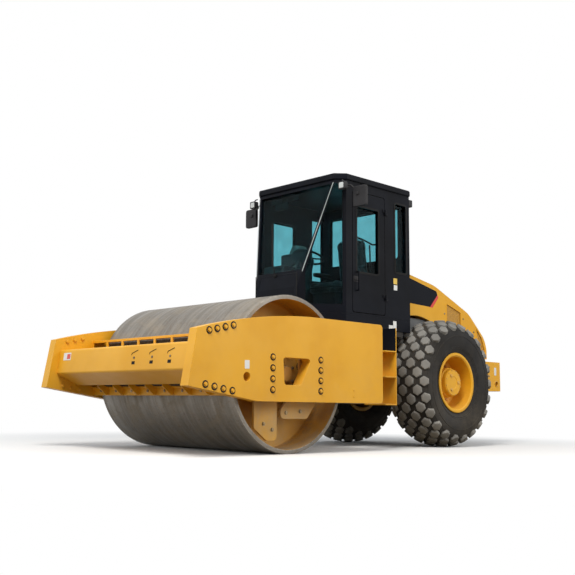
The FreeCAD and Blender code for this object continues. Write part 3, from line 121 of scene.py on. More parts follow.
def mathNode(tree, operation, first, second=0.5, clamp=False):
    return node(tree, "ShaderNodeMath", {"operation": operation, "use_clamp": clamp},
                {0: first, 1: second}).outputs[0]


def noiseNode(tree, place, scale, detail=4.0, rough=0.5, distortion=0.0):
    return node(tree, "ShaderNodeTexNoise", None, {
        "Vector": place, "Scale": scale, "Detail": detail, "Roughness": rough,
        "Distortion": distortion}).outputs["Fac"]


def rangeNode(tree, value, low, high, start=0.0, end=1.0):
    return node(tree, "ShaderNodeMapRange", {"interpolation_type": "SMOOTHSTEP"}, {
        "Value": value, "From Min": low, "From Max": high, "To Min": start,
        "To Max": end}).outputs["Result"]


def mixNode(tree, amount, first, second, blend="MIX"):
    made = tree.nodes.new("ShaderNodeMix")
    made.data_type, made.blend_type = "RGBA", blend
    for index, value in ((0, amount), (6, first), (7, second)):
        if isinstance(value, bpy.types.NodeSocket):
            tree.links.new(value, made.inputs[index])
        else:
            made.inputs[index].default_value = value
    return made.outputs[2]


def makeEdgeWear():
    # Mask of the outward edges, broken up by noise: rounded normal against the true one.
    group, given, result = newGroup("edgeWear", [
        ("Place", "NodeSocketVector", None), ("Width", "NodeSocketFloat", 0.008),
        ("Amount", "NodeSocketFloat", 0.5), ("Grain", "NodeSocketFloat", 30.0)],
        [("Mask", "NodeSocketFloat")])
    rounded = node(group, "ShaderNodeBevel", {"samples": 4}, {"Radius": given.outputs["Width"]})
    true = group.nodes.new("ShaderNodeNewGeometry")
    likeness = node(group, "ShaderNodeVectorMath", {"operation": "DOT_PRODUCT"}, {
        0: rounded.outputs[0], 1: true.outputs["Normal"]}).outputs["Value"]
    edge = rangeNode(group, likeness, 0.995, 0.87)
    flakes = rangeNode(group, noiseNode(group, given.outputs["Place"], given.outputs["Grain"], 6.0,
                                        0.65), 0.42, 0.62)
    mask = mathNode(group, "MULTIPLY", mathNode(group, "MULTIPLY", edge, flakes),
                    given.outputs["Amount"], True)
    group.links.new(mask, result.inputs["Mask"])
    return group


def makeDust():
    # Mask of settled dust: more on faces that look up, near the ground, and in soft patches.
    group, given, result = newGroup("dustLayer", [
        ("Place", "NodeSocketVector", None), ("Amount", "NodeSocketFloat", 0.4),
        ("Low", "NodeSocketFloat", 0.2), ("High", "NodeSocketFloat", 1.6)],
        [("Mask", "NodeSocketFloat")])
    facing = node(group, "ShaderNodeSeparateXYZ", None, {
        0: group.nodes.new("ShaderNodeNewGeometry").outputs["Normal"]}).outputs["Z"]
    upward = rangeNode(group, facing, 0.2, 1.0, 0.0, 0.9)
    height = node(group, "ShaderNodeSeparateXYZ", None, {0: given.outputs["Place"]}).outputs["Z"]
    low = rangeNode(group, height, given.outputs["High"], given.outputs["Low"], 0.0, 0.85)
    patches = rangeNode(group, noiseNode(group, given.outputs["Place"], 2.3, 8.0, 0.62, 0.4),
                        0.3, 0.75, 0.15, 1.0)
    fine = rangeNode(group, noiseNode(group, given.outputs["Place"], 55.0, 4.0, 0.7),
                     0.3, 0.7, 0.65, 1.0)
    total = mathNode(group, "ADD", mathNode(group, "ADD", upward, low), 0.18)
    mask = mathNode(group, "MULTIPLY", mathNode(group, "MULTIPLY", total, patches), fine)
    mask = mathNode(group, "MULTIPLY", mask, given.outputs["Amount"], True)
    group.links.new(mask, result.inputs["Mask"])
    return group


def makeGrain():
    # Fine grain and broad waviness as heights, and a broad value that shifts a colour.
    group, given, result = newGroup("surfaceGrain", [
        ("Place", "NodeSocketVector", None), ("Fine", "NodeSocketFloat", 300.0),
        ("Broad", "NodeSocketFloat", 3.0)],
        [("Height", "NodeSocketFloat"), ("Shift", "NodeSocketFloat")])
    fine = noiseNode(group, given.outputs["Place"], given.outputs["Fine"], 3.0, 0.6)
    broad = noiseNode(group, given.outputs["Place"], given.outputs["Broad"], 5.0, 0.55)
    group.links.new(mathNode(group, "ADD", fine, broad), result.inputs["Height"])
    group.links.new(broad, result.inputs["Shift"])
    return group


edgeWear, dustLayer, surfaceGrain = makeEdgeWear(), makeDust(), makeGrain()


def linear(red, green, blue):
    # A colour as the screen shows it, 0 to 255, as the renderer counts it.
    return tuple(((each / 255 + 0.055) / 1.055) ** 2.4 if each > 10 else each / 3294
                 for each in (red, green, blue)) + (1.0,)


# Finishes: colour, its darker shade, worn edge, roughness, grain, dust and so on
finishes = {
    "yellowPaint": {"colour": linear(232, 171, 30), "shade": linear(223, 161, 25),
                    "worn": linear(150, 120, 74), "rough": (0.36, 0.52), "coat": 0.05,
                    "wear": 0.5, "dust": 0.15, "fine": 420.0, "bump": 0.03, "shine": 0.28},
    "drumYellow": {"colour": linear(224, 166, 40), "shade": linear(204, 146, 34),
                   "worn": linear(120, 100, 70), "rough": (0.42, 0.62), "coat": 0.05,
                   "wear": 0.6, "dust": 0.75, "fine": 300.0, "bump": 0.05},
    "blackPaint": {"colour": linear(15, 18, 26), "shade": linear(12, 14, 19),
                   "worn": linear(66, 64, 62), "rough": (0.36, 0.52), "coat": 0.0,
                   "wear": 0.3, "dust": 0.02, "fine": 380.0, "bump": 0.03, "shine": 0.06},
    "framePaint": {"colour": linear(30, 30, 32), "shade": linear(20, 20, 22),
                   "worn": linear(82, 76, 66), "rough": (0.5, 0.7), "coat": 0.0,
                   "wear": 0.4, "dust": 0.35, "fine": 220.0, "bump": 0.06, "shine": 0.25},
    "tyreRubber": {"colour": linear(40, 40, 41), "shade": linear(30, 30, 31),
                   "worn": linear(84, 82, 78), "rough": (0.74, 0.92), "coat": 0.0,
                   "wear": 0.3, "dust": 0.14, "fine": 160.0, "bump": 0.12, "shine": 0.2},
    "lugRubber": {"colour": linear(142, 140, 135), "shade": linear(112, 111, 108),
                  "worn": linear(170, 167, 158), "rough": (0.8, 0.95), "coat": 0.0,
                  "wear": 0.5, "dust": 0.15, "fine": 120.0, "bump": 0.15, "shine": 0.2},
    "darkPlastic": {"colour": linear(38, 38, 41), "shade": linear(28, 28, 31),
                    "worn": linear(70, 70, 70), "rough": (0.5, 0.66), "coat": 0.0,
                    "wear": 0.1, "dust": 0.08, "fine": 520.0, "bump": 0.12, "shine": 0.25},
    "sealRubber": {"colour": linear(16, 17, 19), "shade": linear(11, 12, 13),
                   "worn": linear(40, 40, 40), "rough": (0.6, 0.8), "coat": 0.0,
                   "wear": 0.1, "dust": 0.06, "fine": 260.0, "bump": 0.05, "shine": 0.2},
    "boltSteel": {"colour": linear(150, 128, 84), "shade": linear(96, 82, 60),
                  "worn": linear(176, 170, 160), "rough": (0.35, 0.6), "coat": 0.0,
                  "wear": 0.7, "dust": 0.35, "fine": 260.0, "bump": 0.06, "metal": 0.6},
    "engineIron": {"colour": linear(92, 94, 96), "shade": linear(66, 68, 70),
                   "worn": linear(130, 128, 124), "rough": (0.5, 0.72), "coat": 0.0,
                   "wear": 0.4, "dust": 0.4, "fine": 140.0, "bump": 0.2, "metal": 0.35},
    "blankWhite": {"colour": linear(226, 228, 226), "shade": linear(212, 214, 212),
                   "worn": linear(190, 186, 176), "rough": (0.3, 0.45), "coat": 0.2,
                   "wear": 0.2, "dust": 0.25, "fine": 300.0, "bump": 0.01},
    "signRed": {"colour": linear(216, 40, 14), "shade": linear(200, 34, 12),
                "worn": linear(150, 80, 60), "rough": (0.3, 0.45), "coat": 0.2,
                "wear": 0.2, "dust": 0.18, "fine": 300.0, "bump": 0.01},
    "signYellow": {"colour": linear(226, 190, 74), "shade": linear(214, 178, 66),
                   "worn": linear(160, 140, 100), "rough": (0.35, 0.5), "coat": 0.2,
                   "wear": 0.2, "dust": 0.2, "fine": 300.0, "bump": 0.01},
    "bellowsRubber": {"colour": linear(112, 118, 114), "shade": linear(90, 96, 92),
                      "worn": linear(90, 90, 90), "rough": (0.55, 0.75), "coat": 0.0,
                      "wear": 0.1, "dust": 0.2, "fine": 220.0, "bump": 0.08},
    # Pale colour of the bars on the windscreen corners: a painted highlight.
    "stripSteel": {"colour": linear(196, 208, 208), "shade": linear(178, 190, 190),
                   "worn": linear(210, 210, 210), "rough": (0.25, 0.4), "coat": 0.0,
                   "wear": 0.3, "dust": 0.1, "fine": 300.0, "bump": 0.02},
    "lampLens": {"colour": linear(196, 200, 198), "shade": linear(172, 178, 178),
                 "worn": linear(214, 214, 210), "rough": (0.12, 0.22), "coat": 0.4,
                 "wear": 0.0, "dust": 0.15, "fine": 300.0, "bump": 0.01},
}


def placed(tree, name, values):
    # One of the shared groups in a material, with its own values.
    made = tree.nodes.new("ShaderNodeGroup")
    made.node_tree = name
    for key, value in values.items():
        if isinstance(value, bpy.types.NodeSocket):
            tree.links.new(value, made.inputs[key])
        else:
            made.inputs[key].default_value = value
    return made


def newMaterial(name):
    material = bpy.data.materials.new(name)
    material.use_nodes = True
    tree = material.node_tree
    return material, tree, tree.nodes["Principled BSDF"]


def makeFinish(name, finish):
    # Paint, rubber or plastic: shifting colour, worn edges and a layer of dust over them.
    material, tree, shader = newMaterial(name)
    place = tree.nodes.new("ShaderNodeTexCoord").outputs["Object"]
    grain = placed(tree, surfaceGrain, {"Place": place, "Fine": finish["fine"], "Broad": 1.7})
    wear = placed(tree, edgeWear, {"Place": place, "Amount": finish["wear"]})
    dust = placed(tree, dustLayer, {"Place": place, "Amount": finish["dust"]})
    shift = rangeNode(tree, grain.outputs["Shift"], 0.35, 0.68)
    colour = mixNode(tree, shift, finish["colour"], finish["shade"])
    colour = mixNode(tree, wear.outputs["Mask"], colour, finish["worn"])
    colour = mixNode(tree, dust.outputs["Mask"], colour, linear(176, 160, 134))
    tree.links.new(colour, shader.inputs["Base Color"])
    low, high = finish["rough"]
    rough = rangeNode(tree, grain.outputs["Shift"], 0.3, 0.7, low, high)
    rough = mathNode(tree, "ADD", rough, mathNode(
        tree, "MULTIPLY", dust.outputs["Mask"], 0.45), True)
    tree.links.new(rough, shader.inputs["Roughness"])
    bump = node(tree, "ShaderNodeBump", None, {
        "Strength": finish["bump"] * 4, "Distance": 0.002, "Height": grain.outputs["Height"]})
    tree.links.new(bump.outputs["Normal"], shader.inputs["Normal"])
    shader.inputs["Coat Weight"].default_value = finish["coat"]
    shader.inputs["Coat Roughness"].default_value = 0.12
    shader.inputs["Metallic"].default_value = finish.get("metal", 0.0)
    shader.inputs["Specular IOR Level"].default_value = finish.get("shine", 0.5)
    return material


paints = {name: makeFinish(name, finish) for name, finish in finishes.items()}


def makeDrumSteel():
    # Rolled steel: bands round the drum, scratches along its width, rust and dried soil.
    material, tree, shader = newMaterial("drumSteel")
    place = tree.nodes.new("ShaderNodeTexCoord").outputs["Object"]
    centred = node(tree, "ShaderNodeMapping", None, {
        "Vector": place, "Location": (-drumAxis[0], 0, -drumAxis[1])}).outputs[0]
    wide = node(tree, "ShaderNodeMapping", None, {
        "Vector": centred, "Scale": (1, 14, 1)}).outputs[0]
    bands = noiseNode(tree, wide, 1.2, 6.0, 0.6)
    along = node(tree, "ShaderNodeMapping", None, {
        "Vector": centred, "Scale": (22, 1.2, 22)}).outputs[0]
    scratches = noiseNode(tree, along, 9.0, 8.0, 0.72)
    soil = rangeNode(tree, noiseNode(tree, centred, 3.1, 9.0, 0.66, 0.8), 0.42, 0.72)
    specks = rangeNode(tree, noiseNode(tree, centred, 38.0, 5.0, 0.7), 0.52, 0.66)
    steel = mixNode(tree, rangeNode(tree, bands, 0.35, 0.65), linear(134, 129, 121),
                    linear(116, 111, 103))
    steel = mixNode(tree, mathNode(tree, "MULTIPLY", rangeNode(tree, scratches, 0.55, 0.72), 0.3),
                    steel, linear(170, 165, 156))
    steel = mixNode(tree, mathNode(tree, "MULTIPLY", specks, 0.55), steel, linear(108, 88, 66))
    wear = placed(tree, edgeWear, {"Place": place, "Amount": 0.7, "Width": 0.012})
    steel = mixNode(tree, wear.outputs["Mask"], steel, linear(206, 198, 184))
    colour = mixNode(tree, mathNode(tree, "MULTIPLY", soil, 0.45), steel, linear(148, 136, 116))
    tree.links.new(colour, shader.inputs["Base Color"])
    metal = rangeNode(tree, soil, 0.0, 0.8, 0.45, 0.0)
    tree.links.new(metal, shader.inputs["Metallic"])
    rough = mathNode(tree, "ADD", rangeNode(tree, bands, 0.3, 0.7, 0.42, 0.6),
                     mathNode(tree, "MULTIPLY", soil, 0.3), True)
    tree.links.new(rough, shader.inputs["Roughness"])
    height = mathNode(tree, "ADD", mathNode(tree, "MULTIPLY", scratches, 0.5), soil)
    bump = node(tree, "ShaderNodeBump", None, {
        "Strength": 0.35, "Distance": 0.003, "Height": height})
    tree.links.new(bump.outputs["Normal"], shader.inputs["Normal"])
    return material


def makeGlass(name, tint, rough):
    # Tinted safety glass with a faint film of dust that lightens its tint in patches.
    material, tree, shader = newMaterial(name)
    place = tree.nodes.new("ShaderNodeTexCoord").outputs["Object"]
    film = noiseNode(tree, place, 6.0, 6.0, 0.6)
    tree.links.new(mixNode(tree, rangeNode(tree, film, 0.3, 0.7), tint,
                           tuple(min(each * 1.12, 1) for each in tint[:3]) + (1.0,)),
                   shader.inputs["Base Color"])
    shader.inputs["Roughness"].default_value = rough
    shader.inputs["Transmission Weight"].default_value = 1.0
    shader.inputs["IOR"].default_value = 1.12
    return material


def makeMetal(name, colour, low, high):
    material, tree, shader = newMaterial(name)
    place = tree.nodes.new("ShaderNodeTexCoord").outputs["Object"]
    smear = noiseNode(tree, place, 9.0, 6.0, 0.6)
    tree.links.new(mixNode(tree, rangeNode(tree, smear, 0.4, 0.75), colour,
                           tuple(each * 0.8 for each in colour[:3]) + (1.0,)),
                   shader.inputs["Base Color"])
    tree.links.new(rangeNode(tree, smear, 0.3, 0.7, low, high), shader.inputs["Roughness"])
    shader.inputs["Metallic"].default_value = 1.0
    return material


def makeVinyl():
    # Seat vinyl: pebbled grain from small cells, with a slight sheen.
    material, tree, shader = newMaterial("seatVinyl")
    place = tree.nodes.new("ShaderNodeTexCoord").outputs["Object"]
    cells = node(tree, "ShaderNodeTexVoronoi", None, {"Vector": place, "Scale": 260.0})
    broad = noiseNode(tree, place, 5.0, 5.0, 0.6)
    tree.links.new(mixNode(tree, rangeNode(tree, broad, 0.35, 0.7), linear(40, 41, 44),
                           linear(56, 56, 58)), shader.inputs["Base Color"])
    tree.links.new(rangeNode(tree, broad, 0.3, 0.7, 0.42, 0.6), shader.inputs["Roughness"])
    bump = node(tree, "ShaderNodeBump", None, {
        "Strength": 0.4, "Distance": 0.001, "Height": cells.outputs["Distance"]})
    tree.links.new(bump.outputs["Normal"], shader.inputs["Normal"])
    shader.inputs["Sheen Weight"].default_value = 0.2
    return material


def makeMeshScreen():
    # Perforated sheet: round holes in rows over the yellow paint, coloured dark brown as painted
    # shade of the space behind the sheet.
    material, tree, shader = newMaterial("ventMesh")
    place = tree.nodes.new("ShaderNodeTexCoord").outputs["Object"]
    holes = node(tree, "ShaderNodeTexVoronoi", None, {
        "Vector": place, "Scale": 95.0, "Randomness": 0.0}).outputs["Distance"]
    hole = rangeNode(tree, holes, 0.42, 0.30)
    dust = placed(tree, dustLayer, {"Place": place, "Amount": 0.45})
    paint = mixNode(tree, dust.outputs["Mask"], linear(210, 152, 40), linear(186, 164, 128))
    # Painted shade: the holes get a dark brown for the shade seen through them.
    tree.links.new(mixNode(tree, mathNode(tree, "MULTIPLY", hole, 0.75), paint,
                           linear(60, 46, 24)), shader.inputs["Base Color"])
    tree.links.new(rangeNode(tree, hole, 0, 1, 0.45, 0.85), shader.inputs["Roughness"])
    bump = node(tree, "ShaderNodeBump", {"invert": True}, {
        "Strength": 0.5, "Distance": 0.002, "Height": hole})
    tree.links.new(bump.outputs["Normal"], shader.inputs["Normal"])
    return material


paints["drumSteel"] = makeDrumSteel()
paints["cabGlass"] = makeGlass("cabGlass", linear(148, 200, 207), 0.0)
paints["mirrorGlass"] = makeMetal("mirrorGlass", linear(214, 220, 224), 0.02, 0.06)
paints["rodChrome"] = makeMetal("rodChrome", linear(222, 222, 222), 0.06, 0.16)
paints["seatVinyl"] = makeVinyl()
paints["ventMesh"] = makeMeshScreen()
print("materials made")


# Shapes worked out with numpy

def addPiece(name, verts, faces, paint, body, replaced=(), slot=None, sharp=32, bevel=0.0,
             flat=False):
    # Makes one mesh from arrays of points and faces, and lets it ride on a body.
    mesh = bpy.data.meshes.new(name)
    mesh.from_pydata(np.asarray(verts, float).tolist(), [], [list(map(int, f)) for f in faces])
    mesh.validate()
    mesh.polygons.foreach_set("use_smooth", [not flat] * len(mesh.polygons))
    if not flat:
        mesh.set_sharp_from_angle(angle=math.radians(sharp))
    piece = bpy.data.objects.new(name, mesh)
    scene.collection.objects.link(piece)
    mesh.materials.append(paints[paint])
    if bevel:
        rounding = piece.modifiers.new("rounding", "BEVEL")
        rounding.width, rounding.segments = bevel, 2
        rounding.limit_method, rounding.angle_limit = "ANGLE", math.radians(35)
        rounding.harden_normals = True
    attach(piece, body)
    if replaced:
        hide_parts(*replaced)
    return piece


def together(shapes):
    # Joins (points, faces) pairs into one.
    points, faces, start = [], [], 0
    for verts, sides in shapes:
        verts = np.asarray(verts, float)
        points.append(verts)
        faces.extend([[index + start for index in side] for side in sides])
        start += len(verts)
    return np.vstack(points), faces


def gridFaces(rows, columns, closedRows=False, closedColumns=False):
    # Four-sided faces between neighbours of a grid of rows by columns points.
    r = np.arange(rows if closedRows else rows - 1)
    c = np.arange(columns if closedColumns else columns - 1)
    r, c = [each.ravel() for each in np.meshgrid(r, c, indexing="ij")]
    nextR, nextC = (r + 1) % rows, (c + 1) % columns
    return np.stack([r * columns + c, nextR * columns + c, nextR * columns + nextC,
                     r * columns + nextC], 1).tolist()


def turnedShape(outline, steps=96, flip=False):
    # Carries an outline of (across, radius) round the Y axis.
    # Each point goes to (radius sin a, across, radius cos a) for every angle a. The outline is
    # closed if its ends meet the axis or each other.
    outline = np.asarray(outline, float)
    ring = bool(np.allclose(outline[0], outline[-1]))
    if ring:
        outline = outline[:-1]
    angle = np.linspace(0, 2 * math.pi, steps, endpoint=False)
    across, radius = outline[:, 0], outline[:, 1]
    points = np.stack([
        np.outer(radius, np.sin(angle)), np.repeat(across[:, None], steps, 1),
        np.outer(radius, np.cos(angle))], 2).reshape(-1, 3)
    faces = gridFaces(len(outline), steps, ring, True)
    if not ring:
        for row, order in ((0, 1), (len(outline) - 1, -1)):
            if radius[row] > 1e-6:
                faces.append([row * steps + number for number in range(steps)][::order])
    if flip:
        faces = [face[::-1] for face in faces]
    return points, faces


def moved(shape, offset=(0, 0, 0), turn=None):
    verts, faces = shape
    verts = np.asarray(verts, float)
    if turn is not None:
        verts = verts @ np.array(turn.to_3x3()).T
    return verts + np.array(offset), faces


def cleaned(shape):
    # Merges doubles and turns every face outwards.
    verts, faces = shape
    mesh = bpy.data.meshes.new("scratch")
    mesh.from_pydata(np.asarray(verts, float).tolist(), [], [list(map(int, f)) for f in faces])
    work = bmesh.new()
    work.from_mesh(mesh)
    bmesh.ops.remove_doubles(work, verts=work.verts, dist=1e-6)
    bmesh.ops.recalc_face_normals(work, faces=work.faces)
    work.verts.index_update()
    points = [tuple(vert.co) for vert in work.verts]
    sides = [[vert.index for vert in face.verts] for face in work.faces]
    work.free()
    bpy.data.meshes.remove(mesh)
    return np.array(points), sides


def prismShape(outline, near, far, plane="xz"):
    # A flat outline carried straight from near to far, square to its plane.
    outline = np.asarray(outline, float)
    count = len(outline)
    axes = {"xz": (0, 2, 1), "yz": (1, 2, 0), "xy": (0, 1, 2)}[plane]
    points = np.zeros((2, count, 3))
    points[:, :, axes[0]], points[:, :, axes[1]] = outline[:, 0], outline[:, 1]
    points[0, :, axes[2]], points[1, :, axes[2]] = near, far
    index = np.arange(count)
    sides = np.stack([index, (index + 1) % count, (index + 1) % count + count,
                      index + count], 1).tolist()
    return cleaned((points.reshape(-1, 3), sides + [index[::-1].tolist(),
                                                    (index + count).tolist()]))


def boxShape(low, high):
    return prismShape([(low[0], low[1]), (high[0], low[1]), (high[0], high[1]),
                       (low[0], high[1])], low[2], high[2], "xy")


def roundedOutline(corners, radius, steps=5):
    # Corners replaced by arcs of the radius, each through steps points.
    corners = np.asarray(corners, float)
    out = []
    for index, here in enumerate(corners):
        before = corners[index - 1] - here
        after = corners[(index + 1) % len(corners)] - here
        before, after = before / np.linalg.norm(before), after / np.linalg.norm(after)
        half = math.acos(np.clip(before @ after, -1, 1)) / 2
        centre = here + (before + after) / np.linalg.norm(before + after) * radius / math.sin(half)
        start = here + before * radius / math.tan(half) - centre
        end = here + after * radius / math.tan(half) - centre
        first, last = math.atan2(start[1], start[0]), math.atan2(end[1], end[0])
        turn = (last - first + math.pi) % (2 * math.pi) - math.pi
        angle = first + turn * np.linspace(0, 1, steps)
        out.append(centre + radius * np.stack([np.cos(angle), np.sin(angle)], 1))
    return np.vstack(out)


def barShape(path, radius, sides=10, closed=False):
    # A round section carried along a path: rings square to the path's direction.
    path = np.asarray(path, float)
    ahead = np.roll(path, -1, 0) - np.roll(path, 1, 0) if closed else np.gradient(path, axis=0)
    ahead /= np.linalg.norm(ahead, axis=1)[:, None]
    reference = np.array([0.0, 0.0, 1.0])
    if np.abs(ahead @ reference).max() > 0.97:
        reference = np.array([0.31, 0.95, 0.0])
    side = np.cross(ahead, reference)
    side /= np.linalg.norm(side, axis=1)[:, None]
    rise = np.cross(side, ahead)
    angle = np.linspace(0, 2 * math.pi, sides, endpoint=False)
    radius = np.broadcast_to(radius, (len(path),))
    rings = path[:, None] + radius[:, None, None] * (
        np.cos(angle)[None, :, None] * side[:, None]
        + np.sin(angle)[None, :, None] * rise[:, None])
    faces = gridFaces(len(path), sides, closed, True)
    if not closed:
        faces += [list(range(sides))[::-1],
                  list(range((len(path) - 1) * sides, len(path) * sides))]
    return cleaned((rings.reshape(-1, 3), faces))


def smoothPath(points, steps=8):
    # Catmull-Rom curve through the points.
    points = np.asarray(points, float)
    padded = np.vstack([2 * points[0] - points[1], points, 2 * points[-1] - points[-2]])
    t = np.linspace(0, 1, steps, endpoint=False)[:, None]
    parts = []
    for index in range(len(points) - 1):
        a, b, c, d = padded[index:index + 4]
        parts.append(0.5 * (2 * b + (c - a) * t + (2 * a - 5 * b + 4 * c - d) * t ** 2
                            + (3 * b - a - 3 * c + d) * t ** 3))
    return np.vstack(parts + [points[-1:]])


axisTurns = {"+y": Matrix.Identity(4), "-y": Matrix.Rotation(math.pi, 4, "X"),
             "+x": Matrix.Rotation(-math.pi / 2, 4, "Z"),
             "-x": Matrix.Rotation(math.pi / 2, 4, "Z"),
             "+z": Matrix.Rotation(math.pi / 2, 4, "X"),
             "-z": Matrix.Rotation(-math.pi / 2, 4, "X")}


def boltShape(radius, height, washer=1.45):
    # Washer and six-sided head with a crowned top, along +Y from the origin.
    round_ = np.linspace(0, 2 * math.pi, 12, endpoint=False)
    hexed = radius / np.cos((round_ + math.pi / 6) % (math.pi / 3) - math.pi / 6)
    rings = [(np.full(12, radius * washer), -0.002), (np.full(12, radius * washer), height * 0.22),
             (np.full(12, radius * washer * 0.96), height * 0.27), (hexed, height * 0.27),
             (hexed, height * 0.88), (np.full(12, radius * 0.86), height),
             (np.full(12, radius * 0.4), height)]
    points = np.vstack([np.stack([ring * np.sin(round_), np.full(12, y),
                                  ring * np.cos(round_)], 1) for ring, y in rings])
    faces = gridFaces(len(rings), 12, False, True)
    faces += [list(range(12)), [72 + number for number in range(12)][::-1]]
    return cleaned((points, faces))


def boltsAt(places, facing, radius, height):
    # The same bolt at every place, all facing one way.
    bolt = moved(boltShape(radius, height), (0, 0, 0), axisTurns[facing])
    return together([moved(bolt, place) for place in places])


def softened(name, paint, width=0.006, segments=2):
    # A copy of a CAD node with its loose triangles merged and its edges rounded.
    source = cadNodes[name]
    work = bmesh.new()
    work.from_mesh(source.data)
    bmesh.ops.remove_doubles(work, verts=work.verts, dist=2e-5)
    bmesh.ops.dissolve_limit(work, angle_limit=math.radians(0.8), verts=work.verts,
                             edges=work.edges, delimit={"NORMAL"})
    mesh = bpy.data.meshes.new(name + "Finish")
    work.to_mesh(mesh)
    work.free()
    piece = bpy.data.objects.new(name + "Finish", mesh)
    scene.collection.objects.link(piece)
    mesh.materials.clear()
    mesh.materials.append(paints[paint])
    mesh.polygons.foreach_set("use_smooth", [True] * len(mesh.polygons))
    mesh.set_sharp_from_angle(angle=math.radians(30))
    if width:
        rounding = piece.modifiers.new("rounding", "BEVEL")
        rounding.width, rounding.segments = width, segments
        rounding.limit_method, rounding.angle_limit = "ANGLE", math.radians(38)
        rounding.harden_normals = True
    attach(piece, bodyOf[name])
    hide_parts(name)
    return piece


slotOf = {each["node"]: each["material_slot"] for each in frame["record"]["subparts"]}


# Drum

drum = {"radius": 0.775, "half": 1.067, "wall": 0.0395, "bulkhead": 0.737, "hub": 0.150,
        "hubEnd": 0.867}


def makeDrum(size):
    r, half, inner = size["radius"], size["half"], size["radius"] - size["wall"]
    soft = 0.006
    skin = turnedShape([
        (-half, inner), (-half, r - soft), (-half + soft * 0.3, r - soft * 0.3),
        (-half + soft, r), (-half * 0.5, r), (0, r), (half * 0.5, r), (half - soft, r),
        (half - soft * 0.3, r - soft * 0.3), (half, r - soft), (half, inner), (0, inner),
        (-half, inner)], 256)
    skin = moved(cleaned(skin), (drumAxis[0], 0, drumAxis[1]))
    addPiece("drumSkin", *skin, "drumSteel", "drum", slot="drum_steel",
             replaced=("drum_shell",), sharp=24)
    liner, face, hub = inner + 0.001, size["bulkhead"], size["hub"]
    side = [(0, liner), (half - 0.004, liner), (half - 0.004, inner - 0.0005),
            (face + 0.02, inner - 0.0005), (face + 0.004, inner - 0.006), (face, inner - 0.024),
            (face, hub + 0.10), (face + 0.012, hub + 0.085), (face + 0.012, hub + 0.012),
            (face + 0.02, hub), (size["hubEnd"] - 0.006, hub), (size["hubEnd"], hub - 0.006),
            (size["hubEnd"], 0)]
    shapes = []
    for way in (1, -1):
        outline = [(across * way, radius) for across, radius in side]
        shapes.append(turnedShape(outline[::way], 160))
    inside = moved(cleaned(together(shapes)), (drumAxis[0], 0, drumAxis[1]))
    addPiece("drumInside", *inside, "drumYellow", "drum", slot="drum_steel", sharp=24)
    turns = np.linspace(0, 2 * math.pi, 16, endpoint=False)
    bolts = []
    for way, facing in ((1, "+y"), (-1, "-y")):
        places = np.stack([drumAxis[0] + 0.205 * np.sin(turns),
                           np.full(16, way * (face + 0.012)),
                           drumAxis[1] + 0.205 * np.cos(turns)], 1)
        bolts.append(boltsAt(places, facing, 0.015, 0.016))
    addPiece("drumBolts", *together(bolts), "boltSteel", "drum", slot="drum_steel")


makeDrum(drum)
print("drum made")


# Yoke: side plates, beams, scrapers and the drum's arms

yoke = {"outside": 1.230, "inside": 1.120, "edge": 0.009}

for each, paint, edge in (
        ("yoke_plate_left", "yellowPaint", yoke["edge"]),
        ("yoke_plate_right", "yellowPaint", yoke["edge"]),
        ("front_beam", "yellowPaint", 0.006), ("rear_beam", "yellowPaint", 0.008),
        ("scraper_front", "yellowPaint", 0.0025), ("scraper_rear", "yellowPaint", 0.0025)):
    softened(each, paint, edge)

plateBolts = {"radius": 0.0155, "height": 0.017, "places": (
    (1.177, 1.115), (1.085, 1.135), (0.988, 1.157), (0.891, 1.179),
    (1.211, 0.640), (1.106, 0.622), (1.001, 0.604), (0.893, 0.590),
    (0.387, 0.915), (0.387, 0.813), (0.387, 0.711), (0.387, 0.610),
    (-0.275, 0.915), (-0.275, 0.813), (-0.275, 0.711), (-0.275, 0.610))}


def shadowRing(places, outside, radius, way):
    # A dark low torus round each bolt: painted shadow of the bolt's countersink.
    angle = np.linspace(0, 2 * math.pi, 24, endpoint=False)
    rings = []
    for x, z in places:
        path = np.stack([fromDrum(x) + radius * np.cos(angle),
                         np.full(24, outside * way), z + radius * np.sin(angle)], 1)
        rings.append(barShape(path, 0.0072, 6, True))
    return together(rings)


def makePlateBolts(size):
    shapes, rings = [], []
    for way, facing in ((1, "+y"), (-1, "-y")):
        places = [(fromDrum(x), yoke["outside"] * way, z) for x, z in size["places"]]
        shapes.append(boltsAt(places, facing, size["radius"], size["height"]))
        # Painted shadow: a dark ring round each outer bolt for its countersink.
        rings.append(shadowRing(size["places"], yoke["outside"], size["radius"] * 1.8, way))
        inner = [(fromDrum(x), yoke["inside"] * way, z) for x, z in size["places"][:8]
                 if x > 0.98]
        shapes.append(boltsAt(inner, "-y" if way > 0 else "+y", size["radius"],
                              size["height"]))
        holes = [(fromDrum(-0.777), yoke["outside"] * way, z) for z in (0.629, 0.565)]
        shapes.append(boltsAt(holes, facing, 0.008, 0.006))
    addPiece("plateBolts", *together(shapes), "yellowPaint", "yoke", slot="yellow_paint")
    addPiece("boltShadowRings", *together(rings), "sealRubber", "yoke", slot="yellow_paint")


makePlateBolts(plateBolts)

# Carrier on the drum's hub, its rubber mounts, and the arms that hang from the side plates
mount = {"hubFace": 0.868, "carrier": 0.898, "radius": 0.432, "armIn": 1.020, "armOut": 1.050,
         "rubber": 0.055, "places": ((0.360, 0.835), (0.315, 0.580), (0.215, 0.480),
                                     (-0.120, 0.430), (-0.300, 0.600), (-0.330, 0.860)),
         "front": ((0.150, 0.130), (0.285, 0.130), (0.455, 0.250), (0.455, 0.940),
                   (0.300, 0.940), (0.300, 0.700), (0.150, 0.520)),
         "rear": ((-0.272, 0.336), (0.100, 0.336), (0.100, 0.426), (-0.160, 0.700),
                  (-0.160, 0.940), (-0.392, 0.940), (-0.392, 0.486)),
         "pads": (0.378, -0.276), "padHalf": 0.075, "padLow": 0.590, "round": 0.045,
         "bolts": ((0.215, 0.235), (0.330, 0.290), (-0.170, 0.410), (0.030, 0.395))}


